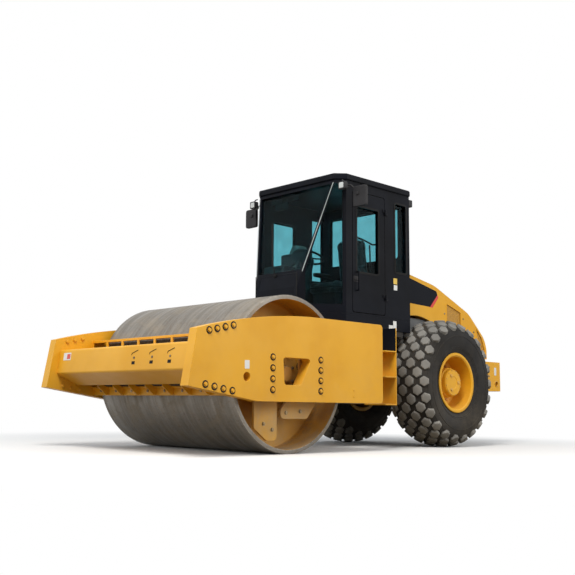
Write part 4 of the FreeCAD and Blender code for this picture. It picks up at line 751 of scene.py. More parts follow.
def makeMounts(word, way, size):
    # Flat outlines rounded at their corners, carried from one depth to the next.
    near, far = sorted((way * size["armIn"], way * size["armOut"]))
    plates = []
    for key in ("front", "rear"):
        outline = roundedOutline([(fromDrum(x), z) for x, z in size[key]], size["round"], 6)
        plates.append(prismShape(outline, near, far, "xz"))
    for x in size["pads"]:
        edge, middle = size["padHalf"], fromDrum(x)
        outline = roundedOutline([(middle - edge, size["padLow"]), (middle + edge, size["padLow"]),
                                  (middle + edge, 0.935), (middle - edge, 0.935)], 0.02, 4)
        near, far = sorted((way * size["armOut"], way * yoke["inside"]))
        plates.append(prismShape(outline, near, far, "xz"))
    addPiece(word + "Arms", *together(plates), "drumYellow", "yoke",
             replaced=("drum_mount_" + word,), slot="yellow_paint", bevel=0.004)
    face, back, rim = size["carrier"], size["hubFace"], size["radius"]
    disc = [(back, 0), (back, rim - 0.004), (back + 0.004, rim), (face - 0.004, rim),
            (face, rim - 0.004), (face, 0.285), (face + 0.010, 0.270), (face + 0.010, 0.150),
            (face + 0.004, 0.142), (face + 0.004, 0.118), (face + 0.060, 0.112),
            (face + 0.068, 0.104), (face + 0.068, 0.082), (face + 0.135, 0.078),
            (face + 0.142, 0.070), (face + 0.142, 0.0)]
    disc = turnedShape([(across * way, radius) for across, radius in disc], 96)
    addPiece(word + "Carrier", *moved(cleaned(disc), (drumAxis[0], 0, drumAxis[1])),
             "drumYellow", "yoke", slot="yellow_paint", sharp=28)
    rubbers, bolts = [], []
    across = np.linspace(face, size["armIn"], 25)
    part = (across - face) / (size["armIn"] - face)
    radius = size["rubber"] * (0.86 + 0.14 * np.cos(2 * math.pi * part)
                               + 0.03 * np.cos(6 * math.pi * part))
    outline = [(face * way, 0)] + list(zip(across * way, radius)) + [(size["armIn"] * way, 0)]
    for x, z in size["places"]:
        rubbers.append(moved(cleaned(turnedShape(outline, 32)), (fromDrum(x), 0, z)))
    addPiece(word + "Rubbers", *together(rubbers), "sealRubber", "yoke", slot="yellow_paint",
             sharp=40)
    facing = "+y" if way > 0 else "-y"
    bolts.append(boltsAt([(fromDrum(x), size["armOut"] * way, z) for x, z in size["bolts"]],
                         facing, 0.014, 0.014))
    turns = np.linspace(0, 2 * math.pi, 10, endpoint=False)
    ring = [(drumAxis[0] + 0.215 * math.sin(a), (face + 0.010) * way,
             drumAxis[1] + 0.215 * math.cos(a)) for a in turns]
    motor = [(drumAxis[0] + 0.092 * math.sin(a), (face + 0.068) * way,
              drumAxis[1] + 0.092 * math.cos(a)) for a in turns[::2]]
    bolts += [boltsAt(ring, facing, 0.012, 0.014), boltsAt(motor, facing, 0.009, 0.012)]
    addPiece(word + "MountBolts", *together(bolts), "boltSteel", "yoke", slot="yellow_paint")


for word, way in (("left", 1), ("right", -1)):
    makeMounts(word, way, mount)

# Front beam's face leans back as it rises
beamFace = {"lowX": 1.292, "lowZ": 0.767, "highX": 1.258, "highZ": 1.022,
            "marks": (0.250, 0.535, 0.807)}


def onBeam(z, out=0.0):
    part = (z - beamFace["lowZ"]) / (beamFace["highZ"] - beamFace["lowZ"])
    return fromDrum(beamFace["lowX"] + (beamFace["highX"] - beamFace["lowX"]) * part) + out


def beamPlate(y, z, wide, high, thick=0.002, lift=0.0):
    # A thin plate that lies on the beam's leaning face.
    low, top = z - high / 2, z + high / 2
    outline = [(onBeam(low, lift), low), (onBeam(low, lift + thick), low),
               (onBeam(top, lift + thick), top), (onBeam(top, lift), top)]
    return prismShape(outline, y - wide / 2, y + wide / 2, "xz")


def makeBeamFittings():
    slotShadesAndBars, pins = [], []
    for y in beamFace["marks"]:
        # Painted shade: each slot is a thin dark plate on the beam's face; a thin dark bar runs
        # above it.
        slotShadesAndBars.append(beamPlate(y - 0.005, 0.848, 0.050, 0.030, 0.0015))
        pins.append((onBeam(0.896), y, 0.896))
        path = np.array([(onBeam(z, 0.002), y + across, z) for across, z in (
            (0.052, 0.968), (-0.040, 0.940), (-0.044, 0.922))])
        slotShadesAndBars.append(barShape(path, 0.0028, 6))
    addPiece("beamSlotShades", *together(slotShadesAndBars), "sealRubber", "yoke", slot="yellow_paint")
    addPiece("beamPins", *boltsAt(pins, "+x", 0.009, 0.007), "boltSteel", "yoke",
             slot="yellow_paint")
    white = beamPlate(-0.955, 0.945, 0.140, 0.078)
    red = beamPlate(-0.925, 0.945, 0.060, 0.052, 0.001, 0.002)
    addPiece("beamLabel", *white, "blankWhite", "yoke", slot="yellow_paint", bevel=0.0006)
    addPiece("beamLabelRed", *red, "signRed", "yoke", slot="yellow_paint")


makeBeamFittings()

plateLabel = {"x": 0.717, "z": 0.832, "wide": 0.058, "high": 0.078}


def makePlateLabels(size):
    shapes = []
    for way in (1, -1):
        x, z = fromDrum(size["x"]), size["z"]
        wide, high = size["wide"] / 2, size["high"] / 2
        outline = roundedOutline([(x - wide, z - high), (x + wide, z - high),
                                  (x + wide, z + high), (x - wide, z + high)], 0.006)
        near, far = yoke["outside"] * way, (yoke["outside"] + 0.0015) * way
        shapes.append(prismShape(outline, min(near, far), max(near, far), "xz"))
    addPiece("plateLabels", *together(shapes), "blankWhite", "yoke", slot="yellow_paint")


makePlateLabels(plateLabel)

scraper = {"rowX": 0.905, "rowZ": 1.002, "railX": 0.842, "bladeZ": 1.140, "toeX": 0.814,
           "toeZ": 0.595, "count": 12}


def makeScraperBolts(size):
    shapes = []
    spread = np.linspace(-1.04, 1.04, size["count"])
    blade = [(fromDrum(0.770 + shift), y, size["bladeZ"]) for y in spread
             for shift in (0.0,)]
    shapes.append(boltsAt(blade, "+z", 0.010, 0.011))
    foot = [(fromDrum(0.895), y, 0.999) for y in spread]
    shapes.append(boltsAt(foot, "+z", 0.010, 0.011))
    toe = [(fromDrum(size["toeX"]), y, size["toeZ"]) for y in np.linspace(-0.98, 0.98, 8)]
    shapes.append(boltsAt(toe, "+x", 0.011, 0.012))
    rear = [(fromDrum(-0.90), y, 1.114) for y in spread]
    shapes.append(boltsAt(rear, "+z", 0.010, 0.011))
    addPiece("scraperBolts", *together(shapes), "boltSteel", "yoke", slot="yellow_paint")
    gussets = []
    for y in np.linspace(-0.84, 0.84, 7):
        outline = [(fromDrum(0.816), 0.556), (fromDrum(0.850), 0.556),
                   (fromDrum(0.955), 0.640), (fromDrum(0.955), 0.690),
                   (fromDrum(0.816), 0.626)]
        gussets.append(prismShape(outline, y - 0.006, y + 0.006, "xz"))
    addPiece("toeGussets", *together(gussets), "yellowPaint", "yoke", slot="yellow_paint",
             bevel=0.001)


makeScraperBolts(scraper)
print("yoke dressed")


# Tyres: a turned casing, and six-sided lugs bent round it

tyre = {"count": 22, "rows": (0.0, 0.095, 0.182, 0.252), "long": 0.066, "flank": 0.030,
        "wide": 0.050, "crown": 0.742, "fall": 0.105, "half": 0.293, "proud": 0.0265,
        "middle": 0.740}


def crownAt(v, size):
    # The casing's radius falls with the cube of the way across; its lean is that slope's.
    part = np.abs(v) / size["half"]
    lean = np.arctan(3 * size["fall"] * part ** 2 / size["half"]) * np.sign(v)
    return size["crown"] - size["fall"] * part ** 3, lean


def lugShape(size):
    # One lug as rings of a rounded six-sided outline, from its foot to its worn face.
    # Each ring is the outline times a scale, at a height over the casing.
    long, flank, wide = size["long"], size["flank"], size["wide"]
    corners = [(long, 0), (flank, wide), (-flank, wide), (-long, 0), (-flank, -wide),
               (flank, -wide)]
    outline = roundedOutline(corners, 0.007, 3)
    rings = [(1.10, -0.010), (1.04, 0.003), (1.0, size["proud"] - 0.005),
             (0.975, size["proud"] - 0.0012), (0.92, size["proud"]), (0.45, size["proud"])]
    points = np.vstack([np.column_stack([outline * scale, np.full(len(outline), height)])
                        for scale, height in rings])
    faces = gridFaces(len(rings), len(outline), False, True)
    last = (len(rings) - 1) * len(outline)
    faces += [list(range(len(outline)))[::-1], [last + n for n in range(len(outline))]]
    return points, faces


def makeTyre(name, node_, side, size):
    across = side * size["middle"]
    tread = np.linspace(-0.246, 0.246, 41)
    crown, _ = crownAt(tread, size)
    wall = [(0.266, 0.662), (0.281, 0.630), (0.290, 0.594), (0.2915, 0.552), (0.286, 0.502),
            (0.272, 0.446), (0.248, 0.392), (0.2295, 0.3626), (0.2295, 0.3355)]
    casing = ([(-v, r) for v, r in wall[::-1]] + list(zip(tread, crown)) + wall
              + [(-wall[-1][0], wall[-1][1])])
    body = moved(cleaned(turnedShape(casing, 144)), (rearAxle[0], across, rearAxle[1]))
    rings = []
    angle = np.linspace(0, 2 * math.pi, 96, endpoint=False)
    for radius, out in ((0.418, 0.2605), (0.436, 0.2675), (0.566, 0.2920), (0.640, 0.2775)):
        for way in (1, -1):
            path = np.stack([rearAxle[0] + radius * np.sin(angle),
                             np.full(96, across + way * out),
                             rearAxle[1] + radius * np.cos(angle)], 1)
            rings.append(barShape(path, 0.0035, 6, True))
    addPiece(name + "Casing", *together([body] + rings), "tyreRubber", bodyOf[node_],
             replaced=(node_,), slot="tyre_rubber", sharp=40)
    points, faces = lugShape(size)
    lugs = []
    for row, start in enumerate(size["rows"]):
        for way in ((1,) if row == 0 else (1, -1)):
            foot = way * start
            crown, lean = crownAt(foot, size)
            v = foot + points[:, 1] * math.cos(lean) + points[:, 2] * math.sin(lean)
            base, _ = crownAt(foot + points[:, 1] * math.cos(lean), size)
            radius = base + points[:, 2] * math.cos(lean)
            for number in range(size["count"]):
                turn = (2 * math.pi * (number + 0.5 * (row % 2)) / size["count"]
                        + points[:, 0] / 0.75)
                lugs.append((np.stack([rearAxle[0] + radius * np.sin(turn), across + v,
                                       rearAxle[1] + radius * np.cos(turn)], 1), faces))
    addPiece(name + "Lugs", *cleaned(together(lugs)), "lugRubber", bodyOf[node_],
             slot="tyre_rubber", sharp=50)


for word, side in (("left", 1), ("right", -1)):
    makeTyre(word + "Tyre", "tyre_" + word, side, tyre)
print("tyres made")


# Rims: a deep dish, the planet hub with its three plugs, and wheel nuts

rim = {"middle": 0.740, "lip": 0.362, "barrel": 0.335, "wall": 0.019, "half": 0.250,
       "disc": -0.020, "hub": 0.182, "hubFace": 0.200}


def makeRim(name, node_, side, size):
    b, half, disc = size["barrel"] - size["wall"], size["half"], size["disc"]
    lip, hub, face = size["lip"], size["hub"], size["hubFace"]
    outline = [
        (disc - 0.02, 0), (disc - 0.02, b - 0.03), (disc - 0.035, b), (-half, b),
        (-half - 0.001, b + 0.004), (-half, lip - 0.006), (-half + 0.006, lip),
        (-half + 0.014, lip), (-half + 0.0198, lip - 0.008), (-half + 0.0198, size["barrel"]),
        (half - 0.0198, size["barrel"]), (half - 0.0198, lip - 0.008), (half - 0.014, lip),
        (half - 0.006, lip), (half, lip - 0.006), (half, b + 0.016), (half - 0.012, b + 0.002),
        (half - 0.05, b - 0.001), (half - 0.09, b - 0.006), (0.05, b - 0.008),
        (disc + 0.03, b - 0.012), (disc + 0.012, b - 0.030), (disc, b - 0.055),
        (disc, hub + 0.028), (disc + 0.006, hub + 0.022), (disc + 0.020, hub + 0.020),
        (disc + 0.026, hub + 0.004), (face - 0.060, hub - 0.002), (face - 0.052, hub - 0.012),
        (face - 0.012, hub - 0.022), (face, hub - 0.034), (face, 0.078),
        (face - 0.004, 0.074), (face - 0.004, 0)]
    outline = [(across * side, radius) for across, radius in outline]
    if side < 0:
        outline = outline[::-1]
    centre = (rearAxle[0], side * size["middle"], rearAxle[1])
    addPiece(name + "Dish", *moved(cleaned(turnedShape(outline, 128)), centre), "yellowPaint",
             bodyOf[node_], replaced=(node_,), slot="yellow_paint", sharp=26)
    facing = "+y" if side > 0 else "-y"
    nuts = [(centre[0] + 0.246 * math.sin(a), centre[1] + side * disc, centre[2]
             + 0.246 * math.cos(a)) for a in np.linspace(0, 2 * math.pi, 20, endpoint=False)]
    plugs = [(centre[0] + 0.098 * math.sin(a), centre[1] + side * face, centre[2]
              + 0.098 * math.cos(a)) for a in (0.55, 0.55 + 2 * math.pi / 3,
                                               0.55 + 4 * math.pi / 3)]
    cover = [(centre[0] + 0.148 * math.sin(a), centre[1] + side * (face - 0.001), centre[2]
              + 0.148 * math.cos(a)) for a in np.linspace(0.2, 0.2 + 2 * math.pi, 12,
                                                          endpoint=False)]
    addPiece(name + "Nuts", *together([
        boltsAt(nuts, facing, 0.0145, 0.024), boltsAt(plugs, facing, 0.015, 0.012),
        boltsAt(cover, facing, 0.006, 0.005)]), "drumYellow", bodyOf[node_],
        slot="yellow_paint")


for word, side in (("left", 1), ("right", -1)):
    makeRim(word + "Rim", "rim_" + word, side, rim)
print("rims made")


# Rear frame, hitch and the steering cylinders

for each, paint, edge in (
        ("rear_frame", "framePaint", 0.006), ("hitch", "framePaint", 0.005),
        ("rear_bumper", "yellowPaint", 0.012),
        ("rear_axle", "framePaint", 0.003), ("engine_block", "engineIron", 0.02),
        ("steering_barrel_left", "framePaint", 0.002),
        ("steering_barrel_right", "framePaint", 0.002),
        ("steering_rod_left", "rodChrome", 0.001), ("steering_rod_right", "rodChrome", 0.001)):
    softened(each, paint, edge)

# The steps are yellow up to their top tread and black above it; the black stands in for the shade
# under the cab and the black cab base behind it.
ladder = softened("access_steps", "yellowPaint", 0.003)
ladder.data.materials.append(paints["blackPaint"])
heights = np.array([face.center.z for face in ladder.data.polygons])
# Painted shade: faces above the top tread take black paint for the dark under the cab.
ladder.data.polygons.foreach_set("material_index", (heights > 1.105).astype(int))
print("frame dressed")


# Cab

cab = {"side": 0.700, "rear": 0.530, "wall": 0.055, "post": 1.705, "nose": 2.120,
       "noseHalf": 0.330, "kink": 1.790, "brow": 1.805, "eaves": 3.030,
       "window": (1.120, 1.525, 1.985, 2.760), "quarter": (0.590, 0.820, 2.055, 2.905),
       "rearWindow": (0.560, 2.275, 2.905), "corner": 0.030}

for each, paint, edge in (
        ("cab_base", "blackPaint", 0.006), ("cab_frame", "blackPaint", 0.005),
        ("cab_front_panel", "blackPaint", 0.006), ("cab_roof", "blackPaint", 0.012),
        ("door_panel", "blackPaint", 0.004), ("door_handle", "blackPaint", 0.006),
        ("seat_base", "darkPlastic", 0.012), ("steering_column", "darkPlastic", 0.012),
        ("dash_console", "darkPlastic", 0.016), ("side_console", "darkPlastic", 0.016),
        ("cab_glass", "cabGlass", 0), ("door_glass", "cabGlass", 0)):
    softened(each, paint, edge)


def slopeAt(z):
    # The windscreen's front face: x falls back evenly from the kink to the eaves.
    part = (z - cab["kink"]) / (cab["eaves"] - cab["kink"])
    return fromAxle(cab["nose"] + (cab["brow"] - cab["nose"]) * part)


def edgeAt(z, way):
    # The edge between the windscreen's plane and the corner's plane, at a height.
    x = slopeAt(z)
    back = (fromAxle(cab["nose"]) - x) / (cab["nose"] - cab["post"])
    return x, way * (cab["noseHalf"] + (cab["side"] - cab["noseHalf"]) * back), z


def sealShape(outline, inner, outer, near, far, plane="xz"):
    # A flat ring round a window: the outline pushed in and out, with the wall between.
    outline = np.asarray(outline, float)
    ahead = np.roll(outline, -1, 0) - np.roll(outline, 1, 0)
    ahead /= np.linalg.norm(ahead, axis=1)[:, None]
    normal = np.stack([ahead[:, 1], -ahead[:, 0]], 1)
    rings = [(outline + normal * outer, near), (outline + normal * outer, far),
             (outline - normal * inner, far), (outline - normal * inner, near)]
    axes = {"xz": (0, 2, 1), "yz": (1, 2, 0)}[plane]
    points = np.zeros((4, len(outline), 3))
    for index, (line, depth) in enumerate(rings):
        points[index][:, axes[0]], points[index][:, axes[1]] = line[:, 0], line[:, 1]
        points[index][:, axes[2]] = depth
    return cleaned((points.reshape(-1, 3), gridFaces(4, len(outline), True, True)))


def windowOutline(low, high, foot, head, radius=0.030):
    return roundedOutline([(low, foot), (high, foot), (high, head), (low, head)], radius)


def makeSeals():
    x0, x1, z0, z1 = cab["window"]
    q0, q1, qz0, qz1 = cab["quarter"]
    half, rz0, rz1 = cab["rearWindow"]
    side = cab["side"]
    door = sealShape(windowOutline(fromAxle(x0), fromAxle(x1), z0, z1), 0.012, 0.010,
                     side - 0.004, side + 0.003)
    addPiece("doorSeal", *door, "sealRubber", "cab_door", slot="black_paint")
    shapes = [sealShape(windowOutline(fromAxle(x0), fromAxle(x1), z0, z1), 0.012, 0.010,
                        -side - 0.003, -side + 0.004)]
    for way in (1, -1):
        shapes.append(sealShape(windowOutline(fromAxle(q0), fromAxle(q1), qz0, qz1), 0.012,
                                0.010, way * side - 0.004, way * side + 0.004))
    shapes.append(sealShape(windowOutline(-half, half, rz0, rz1), 0.012, 0.010,
                            fromAxle(cab["rear"]) - 0.004, fromAxle(cab["rear"]) + 0.004,
                            "yz"))
    addPiece("cabSeals", *together(shapes), "sealRubber", "chassis", slot="black_paint")
    glintBars, rims = [], []
    for way in (1, -1):
        # A pale bar along each windscreen corner edge: painted highlight of the light line there.
        low, high = np.array(edgeAt(1.965, way)), np.array(edgeAt(2.992, way))
        out = np.array([0.004, 0.004 * way, 0])
        line = low + (high - low) * np.linspace(0, 1, 12)[:, None] + out
        glintBars.append(barShape(line, 0.0032, 8))
        foot = np.array([(fromAxle(cab["nose"]) + 0.003, way * cab["noseHalf"], z)
                         for z in np.linspace(1.605, 1.960, 6)])
        rims.append(barShape(foot, 0.006, 8))
    addPiece("screenEdgeGlints", *together(glintBars), "stripSteel", "chassis", slot="black_paint")
    addPiece("cornerRims", *together(rims), "sealRubber", "chassis", slot="black_paint")


makeSeals()

wiper = {"pivot": (-0.050, 1.950), "elbow": (-0.118, 2.130), "tip": (-0.196, 2.340),
         "bladeLow": (-0.118, 2.070), "bladeHigh": (-0.268, 2.620)}


def onScreen(y, z, lift):
    # A point over the windscreen's face, lifted square to it.
    lean = math.atan2(cab["nose"] - cab["brow"], cab["eaves"] - cab["kink"])
    return slopeAt(z) + lift * math.cos(lean), y, z + lift * math.sin(lean)


def makeWiper(size):
    pivot, elbow, tip = size["pivot"], size["elbow"], size["tip"]
    arm = smoothPath([onScreen(*pivot, 0.012), onScreen(*elbow, 0.026), onScreen(*tip, 0.020)], 6)
    blade = np.array([onScreen(*size["bladeLow"], 0.008), onScreen(*size["bladeHigh"], 0.008)])
    blade = blade[0] + (blade[1] - blade[0]) * np.linspace(0, 1, 10)[:, None]
    spine = blade + (np.array(onScreen(0, 2.2, 0.010)) - np.array(onScreen(0, 2.2, 0.0)))
    boss = moved(turnedShape([(0, 0), (0, 0.022), (0.018, 0.020), (0.022, 0.012), (0.022, 0)],
                             20), onScreen(*pivot, -0.004), axisTurns["+x"])
    addPiece("wiper", *together([barShape(arm, 0.006, 8), barShape(blade, 0.004, 6),
                                 barShape(spine, 0.0055, 8), cleaned(boss)]),
             "sealRubber", "chassis", slot="black_paint")


makeWiper(wiper)


def roundBox(centre, half, power=0.28, steps=28):
    # Superellipsoid: each axis is the signed power of the sphere's own coordinate.
    lat = np.linspace(-math.pi / 2, math.pi / 2, steps // 2 + 1)
    lon = np.linspace(-math.pi, math.pi, steps, endpoint=False)
    lat, lon = np.meshgrid(lat, lon, indexing="ij")

    def bent(value):
        return np.sign(value) * np.abs(value) ** power
    points = np.stack([
        centre[0] + half[0] * bent(np.cos(lat)) * bent(np.cos(lon)),
        centre[1] + half[1] * bent(np.cos(lat)) * bent(np.sin(lon)),
        centre[2] + half[2] * bent(np.sin(lat))], 2)
    return cleaned((points.reshape(-1, 3), gridFaces(len(lat), len(lon[0]), False, True)))


mirror = {"x": 0.3375, "y": 0.890, "z": 2.812, "half": (0.0225, 0.095, 0.118)}


def makeMirrors(size):
    heads, glasses, arms = [], [], []
    for way in (1, -1):
        x, y, z = size["x"], size["y"] * way, size["z"]
        heads.append(roundBox((x, y, z), size["half"], 0.22, 36))
        wide, high = size["half"][1] * 0.86, size["half"][2] * 0.86
        outline = roundedOutline([(y - wide, z - high), (y + wide, z - high),
                                  (y + wide, z + high), (y - wide, z + high)], 0.022)
        glasses.append(prismShape(outline, x - 0.0235, x - 0.0205, "yz"))
        arms.append(barShape(smoothPath([
            (x, way * 0.694, z + 0.150), (x, way * 0.745, z + 0.150),
            (x, way * 0.790, z + 0.110), (x, way * 0.810, z + 0.080)], 5), 0.0105, 10))
        arms.append(moved(cleaned(turnedShape([
            (-0.016, 0), (-0.016, 0.020), (0.012, 0.020), (0.016, 0.014), (0.016, 0)], 18)),
            (x, way * 0.698, z + 0.150)))
        arms.append(roundBox((x + 0.026, y - way * 0.02, z + 0.03), (0.010, 0.020, 0.020), 0.6,
                             16))
    addPiece("mirrorHeads", *together(heads + arms), "darkPlastic", "chassis",
             replaced=("mirrors",), slot="black_paint", sharp=50)
    addPiece("mirrorGlasses", *together(glasses), "mirrorGlass", "chassis", slot="black_paint")


makeMirrors(mirror)

lamp = {"half": 0.045, "long": 0.075, "rim": 0.014, "front": (0.4125, 0.730, 2.940),
        "rear": (-0.8125, 0.655, 2.955)}


def makeLamps(name, node_, place, facing, size):
    # Housing with cooling ribs behind, a bezel, and a lens with vertical flutes.
    housings, lenses = [], []
    half, long = size["half"], size["long"]
    for way in (1, -1):
        x, y, z = place[0], place[1] * way, place[2]
        middle = x + facing * long * 0.45
        housings.append(roundBox((middle, y, z), (long * 0.43, half, half), 0.32, 28))
        for shift in (-0.5, 0, 0.5):
            housings.append(roundBox((x + facing * 0.006, y, z + shift * half),
                                     (0.006, half * 0.7, 0.004), 0.4, 12))
        outline = roundedOutline([(y - half, z - half), (y + half, z - half),
                                  (y + half, z + half), (y - half, z + half)], 0.012)
        face = x + facing * (long - 0.006)
        housings.append(sealShape(outline, 0.013, -0.001, min(face, face - facing * 0.012),
                                  max(face, face - facing * 0.012), "yz"))
        clear = half - size["rim"]
        inner = roundedOutline([(y - clear, z - clear), (y + clear, z - clear),
                                (y + clear, z + clear), (y - clear, z + clear)], 0.010)
        near = x + facing * (long - 0.010)
        lenses.append(prismShape(inner, min(near, near + facing * 0.005),
                                 max(near, near + facing * 0.005), "yz"))
        for flute in np.linspace(-0.6, 0.6, 6):
            lenses.append(roundBox((near + facing * 0.0055, y + flute * clear, z),
                                   (0.0012, 0.002, clear * 0.86), 0.5, 10))
        stem = [(x + facing * 0.030, y - way * 0.004, z + half * 0.9),
                (x + facing * 0.030, y - way * 0.010, z + half + 0.020),
                (x + facing * 0.010, y - way * 0.034, z + half + 0.030)]
        housings.append(barShape(smoothPath(stem, 4), 0.007, 8))
    addPiece(name + "Housings", *together(housings), "darkPlastic", "chassis",
             replaced=(node_,), slot="lamp_housing", sharp=45)
    addPiece(name + "Lenses", *together(lenses), "lampLens", "chassis",
             slot="lamp_housing")


makeLamps("frontLamp", "front_lamps", lamp["front"], 1, lamp)
makeLamps("rearLamp", "rear_lamps", lamp["rear"], -1, lamp)

# Paint, x from the rear axle, height, width and depth of each blank sign
decals = (("signYellow", 0.815, 1.951, 0.070, 0.070), ("blankWhite", 0.812, 1.874, 0.066, 0.062),
          ("blankWhite", 0.832, 1.418, 0.062, 0.110), ("blankWhite", 0.905, 1.392, 0.078, 0.056))


def makeDecals():
    for number, (paint, x, z, wide, high) in enumerate(decals):
        shapes = []
        for way in (1, -1):
            outline = roundedOutline([
                (fromAxle(x) - wide / 2, z - high / 2), (fromAxle(x) + wide / 2, z - high / 2),
                (fromAxle(x) + wide / 2, z + high / 2), (fromAxle(x) - wide / 2, z + high / 2)],
                0.003)
            near, far = way * cab["side"], way * (cab["side"] + 0.0012)
            shapes.append(prismShape(outline, min(near, far), max(near, far), "xz"))
        addPiece("decal%d" % number, *together(shapes), paint, "chassis", slot="black_paint")


makeDecals()


def makeRails():
    # Grab rails: inside the door, and outside the right front post.
    y = cab["side"] - 0.085
    door = smoothPath([(fromAxle(1.500), y, 2.700), (fromAxle(1.488), y, 2.480),
                       (fromAxle(1.440), y, 2.420), (fromAxle(1.300), y, 2.395),
                       (fromAxle(1.130), y, 2.360)], 6)
    lower = smoothPath([(fromAxle(1.190), y, 2.350), (fromAxle(1.180), y, 2.150),
                        (fromAxle(1.176), y, 2.000)], 5)
    ends = [[(fromAxle(1.500), cab["side"] - 0.050, 2.700), (fromAxle(1.500), y, 2.700)],
            [(fromAxle(1.130), cab["side"] - 0.050, 2.360), (fromAxle(1.130), y, 2.360)],
            [(fromAxle(1.176), cab["side"] - 0.050, 2.000), (fromAxle(1.176), y, 2.000)]]
    addPiece("doorRail", *together([barShape(door, 0.010, 10), barShape(lower, 0.009, 10)]
                                   + [barShape(np.linspace(*each, 4), 0.010, 10)
                                      for each in ends]),
             "sealRubber", "cab_door", slot="black_paint")
    x = fromAxle(1.640)
    rail = smoothPath([(x, -0.696, 2.675), (x, -0.730, 2.668), (x + 0.02, -0.742, 2.650),
                       (x + 0.01, -0.730, 2.590), (x, -0.698, 2.500)], 6)
    addPiece("cabRails", *barShape(rail, 0.009, 10), "sealRubber", "chassis",
             slot="black_paint")


makeRails()


def makeLatch():
    x, z, y = fromAxle(1.530), 1.905, cab["side"]
    cup = sealShape(windowOutline(x - 0.050, x + 0.050, z - 0.030, z + 0.030, 0.014), 0.006,
                    0.002, y - 0.002, y + 0.004)
    paddle = roundBox((x + 0.004, y + 0.002, z + 0.004), (0.036, 0.007, 0.018), 0.4, 20)
    addPiece("doorLatch", *together([cup, paddle]), "darkPlastic", "cab_door",
             slot="black_paint")


makeLatch()
print("cab dressed")


# Inside the cab

steering = {"x": 0.2345, "z": 2.2268, "lean": -0.3295, "radius": 0.185, "tube": 0.0135}


def makeSteeringWheel(size):
    turns = np.linspace(0, 2 * math.pi, 64, endpoint=False)
    grips = 1 + 0.05 * np.cos(turns * 30)
    hoop = barShape(np.stack([size["radius"] * np.cos(turns), size["radius"] * np.sin(turns),
                              np.zeros(64)], 1), size["tube"] * grips, 12, True)
    shapes = [hoop]
    for turn in (0, 2 * math.pi / 3, 4 * math.pi / 3):
        spoke = smoothPath([(0.02, 0, -0.006), (0.09, 0, -0.008), (0.182, 0, 0.0)], 5)
        shapes.append(moved(barShape(spoke, 0.009, 10), (0, 0, 0),
                            Matrix.Rotation(turn, 4, "Z")))
    hub = moved(cleaned(turnedShape([(-0.020, 0), (-0.020, 0.040), (0.004, 0.045),
                                     (0.012, 0.038), (0.015, 0.0)], 36)), (0, 0, 0),
                axisTurns["+z"])
    knob = moved(roundBox((-0.150, 0.095, 0.034), (0.017, 0.017, 0.022), 0.8, 18))
    stem = barShape(np.linspace((-0.150, 0.095, 0.004), (-0.150, 0.095, 0.024), 4), 0.006, 8)
    shapes += [hub, knob, stem]
    whole = moved(together(shapes), (size["x"], 0, size["z"]),
                  Matrix.Rotation(size["lean"], 4, "Y"))
    addPiece("steeringHoop", *whole, "darkPlastic", "chassis", replaced=("steering_wheel",),
             slot="cab_plastic", sharp=50)


makeSteeringWheel(steering)


def makeControls():
    pod = roundBox((fromAxle(1.690), 0.0, 2.215), (0.050, 0.130, 0.085), 0.35, 28)
    neck = barShape(smoothPath([(fromAxle(1.760), 0, 2.02), (fromAxle(1.735), 0, 2.12),
                                (fromAxle(1.700), 0, 2.18)], 5), 0.035, 12)
    dials = []
    for y in (-0.060, 0.060):
        dials.append(moved(cleaned(turnedShape([
            (0, 0), (0, 0.040), (0.006, 0.040), (0.008, 0.036), (0.005, 0.034), (0.005, 0)], 32)),
            (fromAxle(1.642), y, 2.225), axisTurns["-x"]))
    levers = []
    for x, y in ((1.180, -0.420), (1.120, -0.470)):
        stem = smoothPath([(fromAxle(x), y, 2.018), (fromAxle(x + 0.010), y, 2.080),
                           (fromAxle(x + 0.004), y, 2.130)], 5)
        levers += [barShape(stem, 0.008, 8),
                   roundBox((fromAxle(x), y, 2.165), (0.020, 0.018, 0.042), 0.65, 20)]
    switches = [roundBox((fromAxle(x), -0.345 - 0.035 * row, 2.024), (0.012, 0.012, 0.006), 0.4,
                         12) for x in (0.92, 0.96, 1.00, 1.04) for row in (1, 2, 3)]
    screen = roundBox((fromAxle(1.610), -0.310, 2.215), (0.018, 0.105, 0.075), 0.25, 24)
    foot = barShape(np.linspace((fromAxle(1.625), -0.310, 2.110), (fromAxle(1.618), -0.310, 2.16),
                                4), 0.018, 10)
    armrest = roundBox((fromAxle(1.010), -0.300, 2.095), (0.150, 0.035, 0.028), 0.5, 24)
    post = barShape(np.linspace((fromAxle(0.930), -0.336, 1.99), (fromAxle(0.930), -0.312, 2.08),
                                4), 0.016, 10)
    addPiece("cabControls", *together([pod, neck, screen, foot, armrest, post] + levers + switches),
             "darkPlastic", "chassis", slot="cab_plastic", sharp=45)
    addPiece("cabDials", *together(dials), "blankWhite", "chassis", slot="cab_plastic")
    visor = prismShape(roundedOutline([(-0.52, 2.915), (-0.05, 2.915), (-0.05, 2.975),
                                       (-0.52, 2.975)], 0.015), slopeAt(2.95) - 0.130,
                       slopeAt(2.95) - 0.122, "yz")
    inner = roundBox((slopeAt(2.87) - 0.12, -0.30, 2.865), (0.018, 0.115, 0.045), 0.4, 24)
    hang = barShape(np.linspace((slopeAt(2.87) - 0.12, -0.30, 2.90),
                                (slopeAt(2.87) - 0.12, -0.30, 3.028), 4), 0.006, 8)
    rods = [barShape(np.linspace((slopeAt(2.95) - 0.126, y, 2.970),
                                 (slopeAt(2.95) - 0.126, y, 3.029), 4), 0.005, 8)
            for y in (-0.46, -0.11)]
    addPiece("sunVisor", *together([visor, inner, hang] + rods), "sealRubber", "chassis",
             slot="cab_plastic")


makeControls()

bellows = {"x": 1.275, "y": -0.445, "foot": 2.019, "top": 2.450, "half": (0.165, 0.110),
           "ribs": 6}


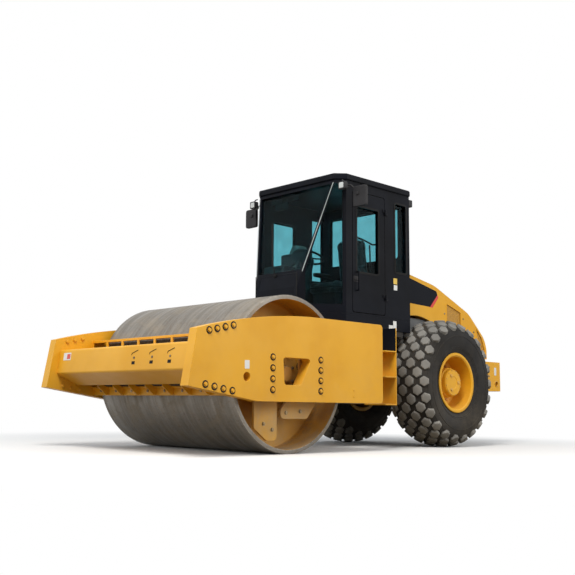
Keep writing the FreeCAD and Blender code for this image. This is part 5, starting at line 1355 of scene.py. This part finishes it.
def makeBellows(size):
    # Ribbed dome: the radius falls as a quarter ellipse with height, and waves at each rib.
    height = np.linspace(0, 1, 61)
    fall = np.sqrt(np.clip(1 - (height * 0.86) ** 2.6, 0, 1))
    waves = fall * (1 - 0.045 * (0.5 - 0.5 * np.cos(height * size["ribs"] * 2 * math.pi)) ** 0.5)
    turns = np.linspace(0, 2 * math.pi, 56, endpoint=False)

    def power(value):
        return np.sign(value) * np.abs(value) ** 0.75
    points = np.stack([
        fromAxle(size["x"]) + np.outer(waves, power(np.cos(turns))) * size["half"][0],
        size["y"] + np.outer(waves, power(np.sin(turns))) * size["half"][1],
        np.repeat((size["foot"] + (size["top"] - size["foot"]) * height)[:, None], 56, 1)], 2)
    faces = gridFaces(61, 56, False, True)
    faces += [list(range(56))[::-1], [60 * 56 + number for number in range(56)]]
    addPiece("consoleBellows", *cleaned((points.reshape(-1, 3), faces)), "bellowsRubber",
             "chassis", slot="cab_plastic", sharp=60)


makeBellows(bellows)
print("cab's inside made")


# Hood: shell, screens, side panels with their red corner

hood = {"half": 0.400, "lift": 0.0012,
        "panel": ((0.512, 2.172), (-0.440, 1.981), (-0.466, 1.934), (-0.300, 1.762),
                  (0.125, 1.776), (0.512, 1.792)),
        "stripe": ((-0.466, 1.934), (-0.486, 1.900), (-0.352, 1.757), (-0.268, 1.760),
                   (-0.300, 1.763)),
        "vents": (((-0.668, 1.440), (-0.668, 1.840), (-0.993, 1.742), (-0.993, 1.230),
                   (-0.835, 1.230)),
                  ((-1.345, 1.580), (-1.500, 1.420), (-1.565, 1.270), (-1.565, 1.200),
                   (-1.440, 1.200))),
        "grille": ((-1.260, 1.662), (-1.490, 1.467)), "grilleHalf": 0.290}

softened("hood_shell", "yellowPaint", 0.004)


def onSide(points):
    return [(fromAxle(x), z) for x, z in points]


def makeHoodPanels(size):
    for name, key, paint, lift in (("hoodPanel", "panel", "blackPaint", size["lift"]),
                                   ("hoodStripe", "stripe", "signRed", size["lift"] * 1.6)):
        shapes = []
        for way in (1, -1):
            near, far = way * (size["half"] - 0.001), way * (size["half"] + lift)
            outline = onSide(size[key])
            if key == "panel":
                outline = roundedOutline(outline, 0.012, 4)
            shapes.append(prismShape(outline, min(near, far), max(near, far), "xz"))
        addPiece(name, *together(shapes), paint, "hood", slot="yellow_paint")


def makeScreens(size):
    # Perforated sheets set into the vents, and one in the slope behind the engine.
    shapes = []
    for way in (1, -1):
        near, far = sorted((way * (size["half"] - 0.014), way * (size["half"] - 0.010)))
        shapes += [prismShape(onSide(vent), near, far, "xz") for vent in size["vents"]]
    (x0, z0), (x1, z1) = size["grille"]
    shapes.append(prismShape(onSide([(x0, z0), (x0, z0 - 0.006), (x1, z1 - 0.006), (x1, z1)]),
                             -size["grilleHalf"], size["grilleHalf"], "xz"))
    addPiece("ventScreens", *together(shapes), "ventMesh", "hood", slot="yellow_paint")


def makeVentFrames(size):
    # A narrow rolled lip round each vent, and studs on the hood's sides.
    shapes, studs = [], []
    for way in (1, -1):
        for vent in size["vents"]:
            outline = roundedOutline(onSide(vent), 0.010, 4)
            near, far = sorted((way * (size["half"] - 0.004), way * (size["half"] + 0.003)))
            shapes.append(sealShape(outline, 0.006, 0.010, near, far))
        facing = "+y" if way > 0 else "-y"
        for x, z in ((-0.62, 1.70), (-1.05, 1.66), (-1.05, 1.30), (-1.30, 1.50), (-1.30, 1.24)):
            studs.append(boltsAt([(fromAxle(x), way * size["half"], z)], facing, 0.009, 0.006))
    addPiece("ventFrames", *together(shapes), "yellowPaint", "hood", slot="yellow_paint",
             sharp=40)
    addPiece("hoodStuds", *together(studs), "boltSteel", "hood", slot="yellow_paint")


def makeHoodLatch(size):
    # A recessed pull near the skirt on each side.
    cups = []
    for way in (1, -1):
        x, z = fromAxle(-1.18), 1.235
        near, far = sorted((way * (size["half"] - 0.003), way * (size["half"] + 0.004)))
        outline = roundedOutline([(x - 0.055, z - 0.028), (x + 0.055, z - 0.028),
                                  (x + 0.055, z + 0.028), (x - 0.055, z + 0.028)], 0.014)
        cups.append(sealShape(outline, 0.010, 0.002, near, far))
        cups.append(roundBox((x, way * (size["half"] + 0.001), z), (0.040, 0.006, 0.016), 0.4, 18))
    addPiece("hoodPulls", *together(cups), "darkPlastic", "hood", slot="yellow_paint", sharp=45)


makeHoodPanels(hood)
makeScreens(hood)
makeVentFrames(hood)
makeHoodLatch(hood)
print("hood dressed")


# Access steps and bumper

steps = {"x": (1.196, 1.369), "y": (0.706, 0.974), "tops": (0.500, 0.805, 1.090), "pitch": 0.030,
         "top": 1.350}


def makeStepGrip(size):
    # Rows of raised buttons on each tread, every other row half a pitch along.
    button = turnedShape([(-0.001, 0.0075), (0.0012, 0.0070), (0.0026, 0.0045), (0.0026, 0.0)], 10)
    button = moved(cleaned(button), (0, 0, 0), axisTurns["+z"])
    x0, x1 = size["x"]
    y0, y1 = size["y"]
    shapes = []
    for way in (1, -1):
        for top in size["tops"]:
            for row, x in enumerate(np.arange(x0 + 0.014, x1 - 0.008, size["pitch"])):
                start = y0 + 0.014 + (row % 2) * size["pitch"] / 2
                for y in np.arange(start, y1 - 0.008, size["pitch"]):
                    shapes.append(moved(button, (fromAxle(x), way * y, top)))
    addPiece("stepGrip", *together(shapes), "drumYellow", "chassis", slot="yellow_paint",
             sharp=50)


makeStepGrip(steps)

bumper = {"side": 0.600, "eye": (-1.515, 0.798), "label": (-1.490, 0.965, 0.052, 0.105),
          "bolts": ((-1.235, 1.020), (-1.235, 0.900), (-1.330, 1.020), (-1.330, 0.900))}


def makeBumperFittings(size):
    shapes, rings, bolts = [], [], []
    for way in (1, -1):
        x, z, wide, high = size["label"]
        x = fromAxle(x)
        outline = roundedOutline([(x - wide / 2, z - high / 2), (x + wide / 2, z - high / 2),
                                  (x + wide / 2, z + high / 2), (x - wide / 2, z + high / 2)],
                                 0.004)
        near, far = sorted((way * size["side"], way * (size["side"] + 0.0015)))
        shapes.append(prismShape(outline, near, far, "xz"))
        angle = np.linspace(0, 2 * math.pi, 40, endpoint=False)
        path = np.stack([fromAxle(size["eye"][0]) + 0.036 * np.cos(angle),
                         np.full(40, way * (size["side"] + 0.001)),
                         size["eye"][1] + 0.036 * np.sin(angle)], 1)
        rings.append(barShape(path, 0.005, 8, True))
        bolts.append(boltsAt([(fromAxle(x_), way * size["side"], z_)
                              for x_, z_ in size["bolts"]], "+y" if way > 0 else "-y",
                             0.012, 0.012))
    addPiece("bumperLabels", *together(shapes), "blankWhite", "chassis", slot="yellow_paint")
    addPiece("bumperEyes", *together(rings), "drumYellow", "chassis", slot="yellow_paint")
    addPiece("bumperBolts", *together(bolts), "boltSteel", "chassis", slot="yellow_paint")


makeBumperFittings(bumper)
print("steps and bumper dressed")


# Seat: padded vinyl, swollen by a short cloth simulation

seat = {"voxel": 0.0065, "pressure": 4.0, "cap": 0.024, "frames": 20,
        "cushion": {"centre": (-0.223, 0.0, 1.884), "half": (0.232, 0.232, 0.046), "lean": 0.0,
                    "bolster": 0.020, "seams": (-0.10, 0.0, 0.10)},
        "back": {"centre": (-0.570, 0.0, 2.200), "half": (0.335, 0.206, 0.050), "lean": -1.4405,
                 "bolster": 0.022, "seams": (-0.17, -0.03, 0.11)}}


def padShape(size):
    # Pad lying flat: a superellipsoid whose upper side rises towards its two long edges.
    points, faces = roundBox((0, 0, 0), size["half"], 0.24, 72)
    points = np.array(points)
    side = np.clip((np.abs(points[:, 1]) / size["half"][1] - 0.55) / 0.3, 0, 1)
    rise = side ** 2 * (3 - 2 * side)
    points[:, 2] += np.where(points[:, 2] > 0, rise * size["bolster"], 0)
    return points, faces


def remeshed(points, faces, voxel):
    mesh = bpy.data.meshes.new("padStart")
    mesh.from_pydata(points.tolist(), [], [list(map(int, face)) for face in faces])
    holder = bpy.data.objects.new("padStart", mesh)
    scene.collection.objects.link(holder)
    voxels = holder.modifiers.new("voxels", "REMESH")
    voxels.mode, voxels.voxel_size = "VOXEL", voxel
    shaped = bpy.data.meshes.new_from_object(
        holder.evaluated_get(bpy.context.evaluated_depsgraph_get()))
    holder.modifiers.clear()
    holder.data = shaped
    bpy.data.meshes.remove(mesh)
    return holder


def coordinates(mesh):
    values = np.zeros(len(mesh.vertices) * 3)
    mesh.vertices.foreach_get("co", values)
    return values.reshape(-1, 3)


def swollen(holder, size):
    # Cloth under inner pressure, with every point's way capped, and no cloth left on it.
    before = coordinates(holder.data)
    cloth = holder.modifiers.new("cloth", "CLOTH")
    cloth.settings.quality = 5
    cloth.settings.mass = 0.3
    cloth.settings.use_pressure = True
    cloth.settings.uniform_pressure_force = size["pressure"]
    cloth.settings.effector_weights.gravity = 0
    cloth.settings.tension_stiffness = 30
    cloth.settings.compression_stiffness = 30
    cloth.settings.bending_stiffness = 1.5
    cloth.point_cache.frame_start, cloth.point_cache.frame_end = 1, size["frames"]
    for number in range(1, size["frames"] + 1):
        scene.frame_set(number)
    after = coordinates(holder.evaluated_get(bpy.context.evaluated_depsgraph_get()).data)
    way = after - before
    long = np.linalg.norm(way, axis=1, keepdims=True)
    way *= np.minimum(1, size["cap"] / np.maximum(long, 1e-9))
    holder.modifiers.clear()
    scene.frame_set(1)
    holder.data.vertices.foreach_set("co", (before + way).ravel())
    return holder


def makePad(name, node_, size, shared):
    points, faces = padShape(size)
    holder = remeshed(points, faces, shared["voxel"])
    swollen(holder, shared)
    smooth = holder.modifiers.new("smooth", "SUBSURF")
    smooth.levels = smooth.render_levels = 1
    mesh = bpy.data.meshes.new_from_object(
        holder.evaluated_get(bpy.context.evaluated_depsgraph_get()))
    old = holder.data
    bpy.data.objects.remove(holder)
    bpy.data.meshes.remove(old)
    flat = coordinates(mesh)
    # Sewn channels: the upper side sinks along each seam as a narrow bell curve
    depth = np.zeros(len(flat))
    inner = size["half"][1] * 0.66
    upper = np.clip((flat[:, 2] - size["half"][2] * 0.15) / 0.02, 0, 1)
    across = np.clip((inner + 0.012 - np.abs(flat[:, 1])) / 0.02, 0, 1)
    for seam in size["seams"]:
        depth += 0.009 * np.exp(-((flat[:, 0] - seam) / 0.0075) ** 2) * across
    depth += 0.010 * np.exp(-((np.abs(flat[:, 1]) - inner) / 0.0075) ** 2) * np.clip(
        (size["half"][0] * 0.97 - np.abs(flat[:, 0])) / 0.03, 0, 1)
    flat[:, 2] -= depth * upper
    turn = Matrix.Rotation(size["lean"], 4, "Y")
    flat = flat @ np.array(turn.to_3x3()).T + np.array(size["centre"])
    mesh.vertices.foreach_set("co", flat.ravel())
    mesh.materials.clear()
    mesh.materials.append(paints["seatVinyl"])
    mesh.polygons.foreach_set("use_smooth", [True] * len(mesh.polygons))
    piece = bpy.data.objects.new(name, mesh)
    scene.collection.objects.link(piece)
    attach(piece, "chassis")
    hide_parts(node_)
    # Piping: a cord sewn round the pad's middle, along a superellipse
    angle = np.linspace(0, 2 * math.pi, 120, endpoint=False)

    def bent(value):
        return np.sign(value) * np.abs(value) ** 0.26
    path = np.stack([bent(np.cos(angle)) * (size["half"][0] + 0.004),
                     bent(np.sin(angle)) * (size["half"][1] + 0.004), np.zeros(120)], 1)
    path = path @ np.array(turn.to_3x3()).T + np.array(size["centre"])
    addPiece(name + "Piping", *barShape(path, 0.0042, 8, True), "sealRubber", "chassis",
             slot="seat_vinyl")


makePad("seatPad", "seat_cushion", seat["cushion"], seat)
makePad("backPad", "seat_back", seat["back"], seat)
print("seat made")


# Whatever CAD node still shows gets a finish for its slot

slotPaint = {"drum_steel": "drumSteel", "yellow_paint": "yellowPaint",
             "black_paint": "blackPaint", "rod_chrome": "rodChrome",
             "tyre_rubber": "tyreRubber", "cab_glass": "cabGlass", "seat_vinyl": "seatVinyl",
             "cab_plastic": "darkPlastic", "lamp_housing": "darkPlastic",
             "engine_iron": "engineIron"}
for name, piece in cadNodes.items():
    piece.data.materials.clear()
    piece.data.materials.append(paints[slotPaint[slotOf[name]]])


# Floor, world and lights

studio = {"floor": 26.0, "rings": (3.1, 6.2), "world": 0.52,
          "key": {"place": (6.5, 4.0, 9.0), "size": 4.0, "power": 860, "colour": (1.0, 0.97, 0.93)},
          "fill": {"place": (9.0, -5.0, 4.0), "size": 7.0, "power": 180,
                   "colour": (0.92, 0.96, 1.0)},
          "side": {"place": (-4.0, 9.5, 5.0), "size": 5.0, "power": 430,
                   "colour": (1.0, 0.98, 0.95)}}


def seenRays(tree):
    # One for rays that go straight to the eye, by reflection or through glass.
    path = tree.nodes.new("ShaderNodeLightPath").outputs
    first = mathNode(tree, "MAXIMUM", path["Is Camera Ray"], path["Is Glossy Ray"])
    return mathNode(tree, "MAXIMUM", first, path["Is Transmission Ray"])


def makeFloor(size):
    rings = np.linspace(0, 1, 40) ** 2 * size["floor"]
    turns = np.linspace(0, 2 * math.pi, 96, endpoint=False)
    points = np.stack([np.outer(rings, np.cos(turns)), np.outer(rings, np.sin(turns)),
                       np.full((40, 96), -0.0006)], 2).reshape(-1, 3)
    mesh = bpy.data.meshes.new("studioFloor")
    verts, faces = cleaned((points, gridFaces(40, 96, False, True)))
    mesh.from_pydata(np.asarray(verts).tolist(), [], faces)
    floor = bpy.data.objects.new("studioFloor", mesh)
    scene.collection.objects.link(floor)
    material, tree, shader = newMaterial("studioFloor")
    place = tree.nodes.new("ShaderNodeTexCoord").outputs["Object"]
    noise = noiseNode(tree, place, 0.35, 3.0, 0.5)
    pale = mixNode(tree, noise, linear(242, 241, 238), linear(247, 246, 244))
    tree.links.new(mixNode(tree, seenRays(tree), linear(140, 128, 108), pale),
                   shader.inputs["Base Color"])
    shader.inputs["Roughness"].default_value = 0.9
    shader.inputs["Specular IOR Level"].default_value = 0.1
    far = node(tree, "ShaderNodeVectorMath", {"operation": "LENGTH"}, {0: place}).outputs["Value"]
    faded = rangeNode(tree, far, size["rings"][0], size["rings"][1])
    white = node(tree, "ShaderNodeEmission", None, {"Color": (1, 1, 1, 1), "Strength": 1.0})
    mixed = node(tree, "ShaderNodeMixShader", None, {
        0: mathNode(tree, "MULTIPLY", faded, seenRays(tree)), 1: shader.outputs[0],
        2: white.outputs[0]})
    tree.links.new(mixed.outputs[0], tree.nodes["Material Output"].inputs["Surface"])
    mesh.materials.append(material)


def makeWorld(size):
    world = bpy.data.worlds.new("studioWorld")
    world.use_nodes = True
    scene.world = world
    tree = world.node_tree
    light = tree.nodes["Background"]
    light.inputs["Color"].default_value = (0.86, 0.92, 1.0, 1)
    light.inputs["Strength"].default_value = size["world"]
    seen = node(tree, "ShaderNodeBackground", None, {"Color": (1, 1, 1, 1), "Strength": 1.0})
    mixed = node(tree, "ShaderNodeMixShader", None, {
        0: seenRays(tree), 1: light.outputs[0], 2: seen.outputs[0]})
    tree.links.new(mixed.outputs[0], tree.nodes["World Output"].inputs["Surface"])


def makeLight(name, size, target=(0.2, 0, 1.0)):
    data = bpy.data.lights.new(name, "AREA")
    data.energy, data.size, data.color = size["power"], size["size"], size["colour"]
    light = bpy.data.objects.new(name, data)
    light.location = size["place"]
    aim = Vector(target) - Vector(size["place"])
    light.rotation_euler = aim.to_track_quat("-Z", "Y").to_euler()
    scene.collection.objects.link(light)


makeFloor(studio)
makeWorld(studio)
for word in ("key", "fill", "side"):
    makeLight(word + "Light", studio[word])
print("studio lit")
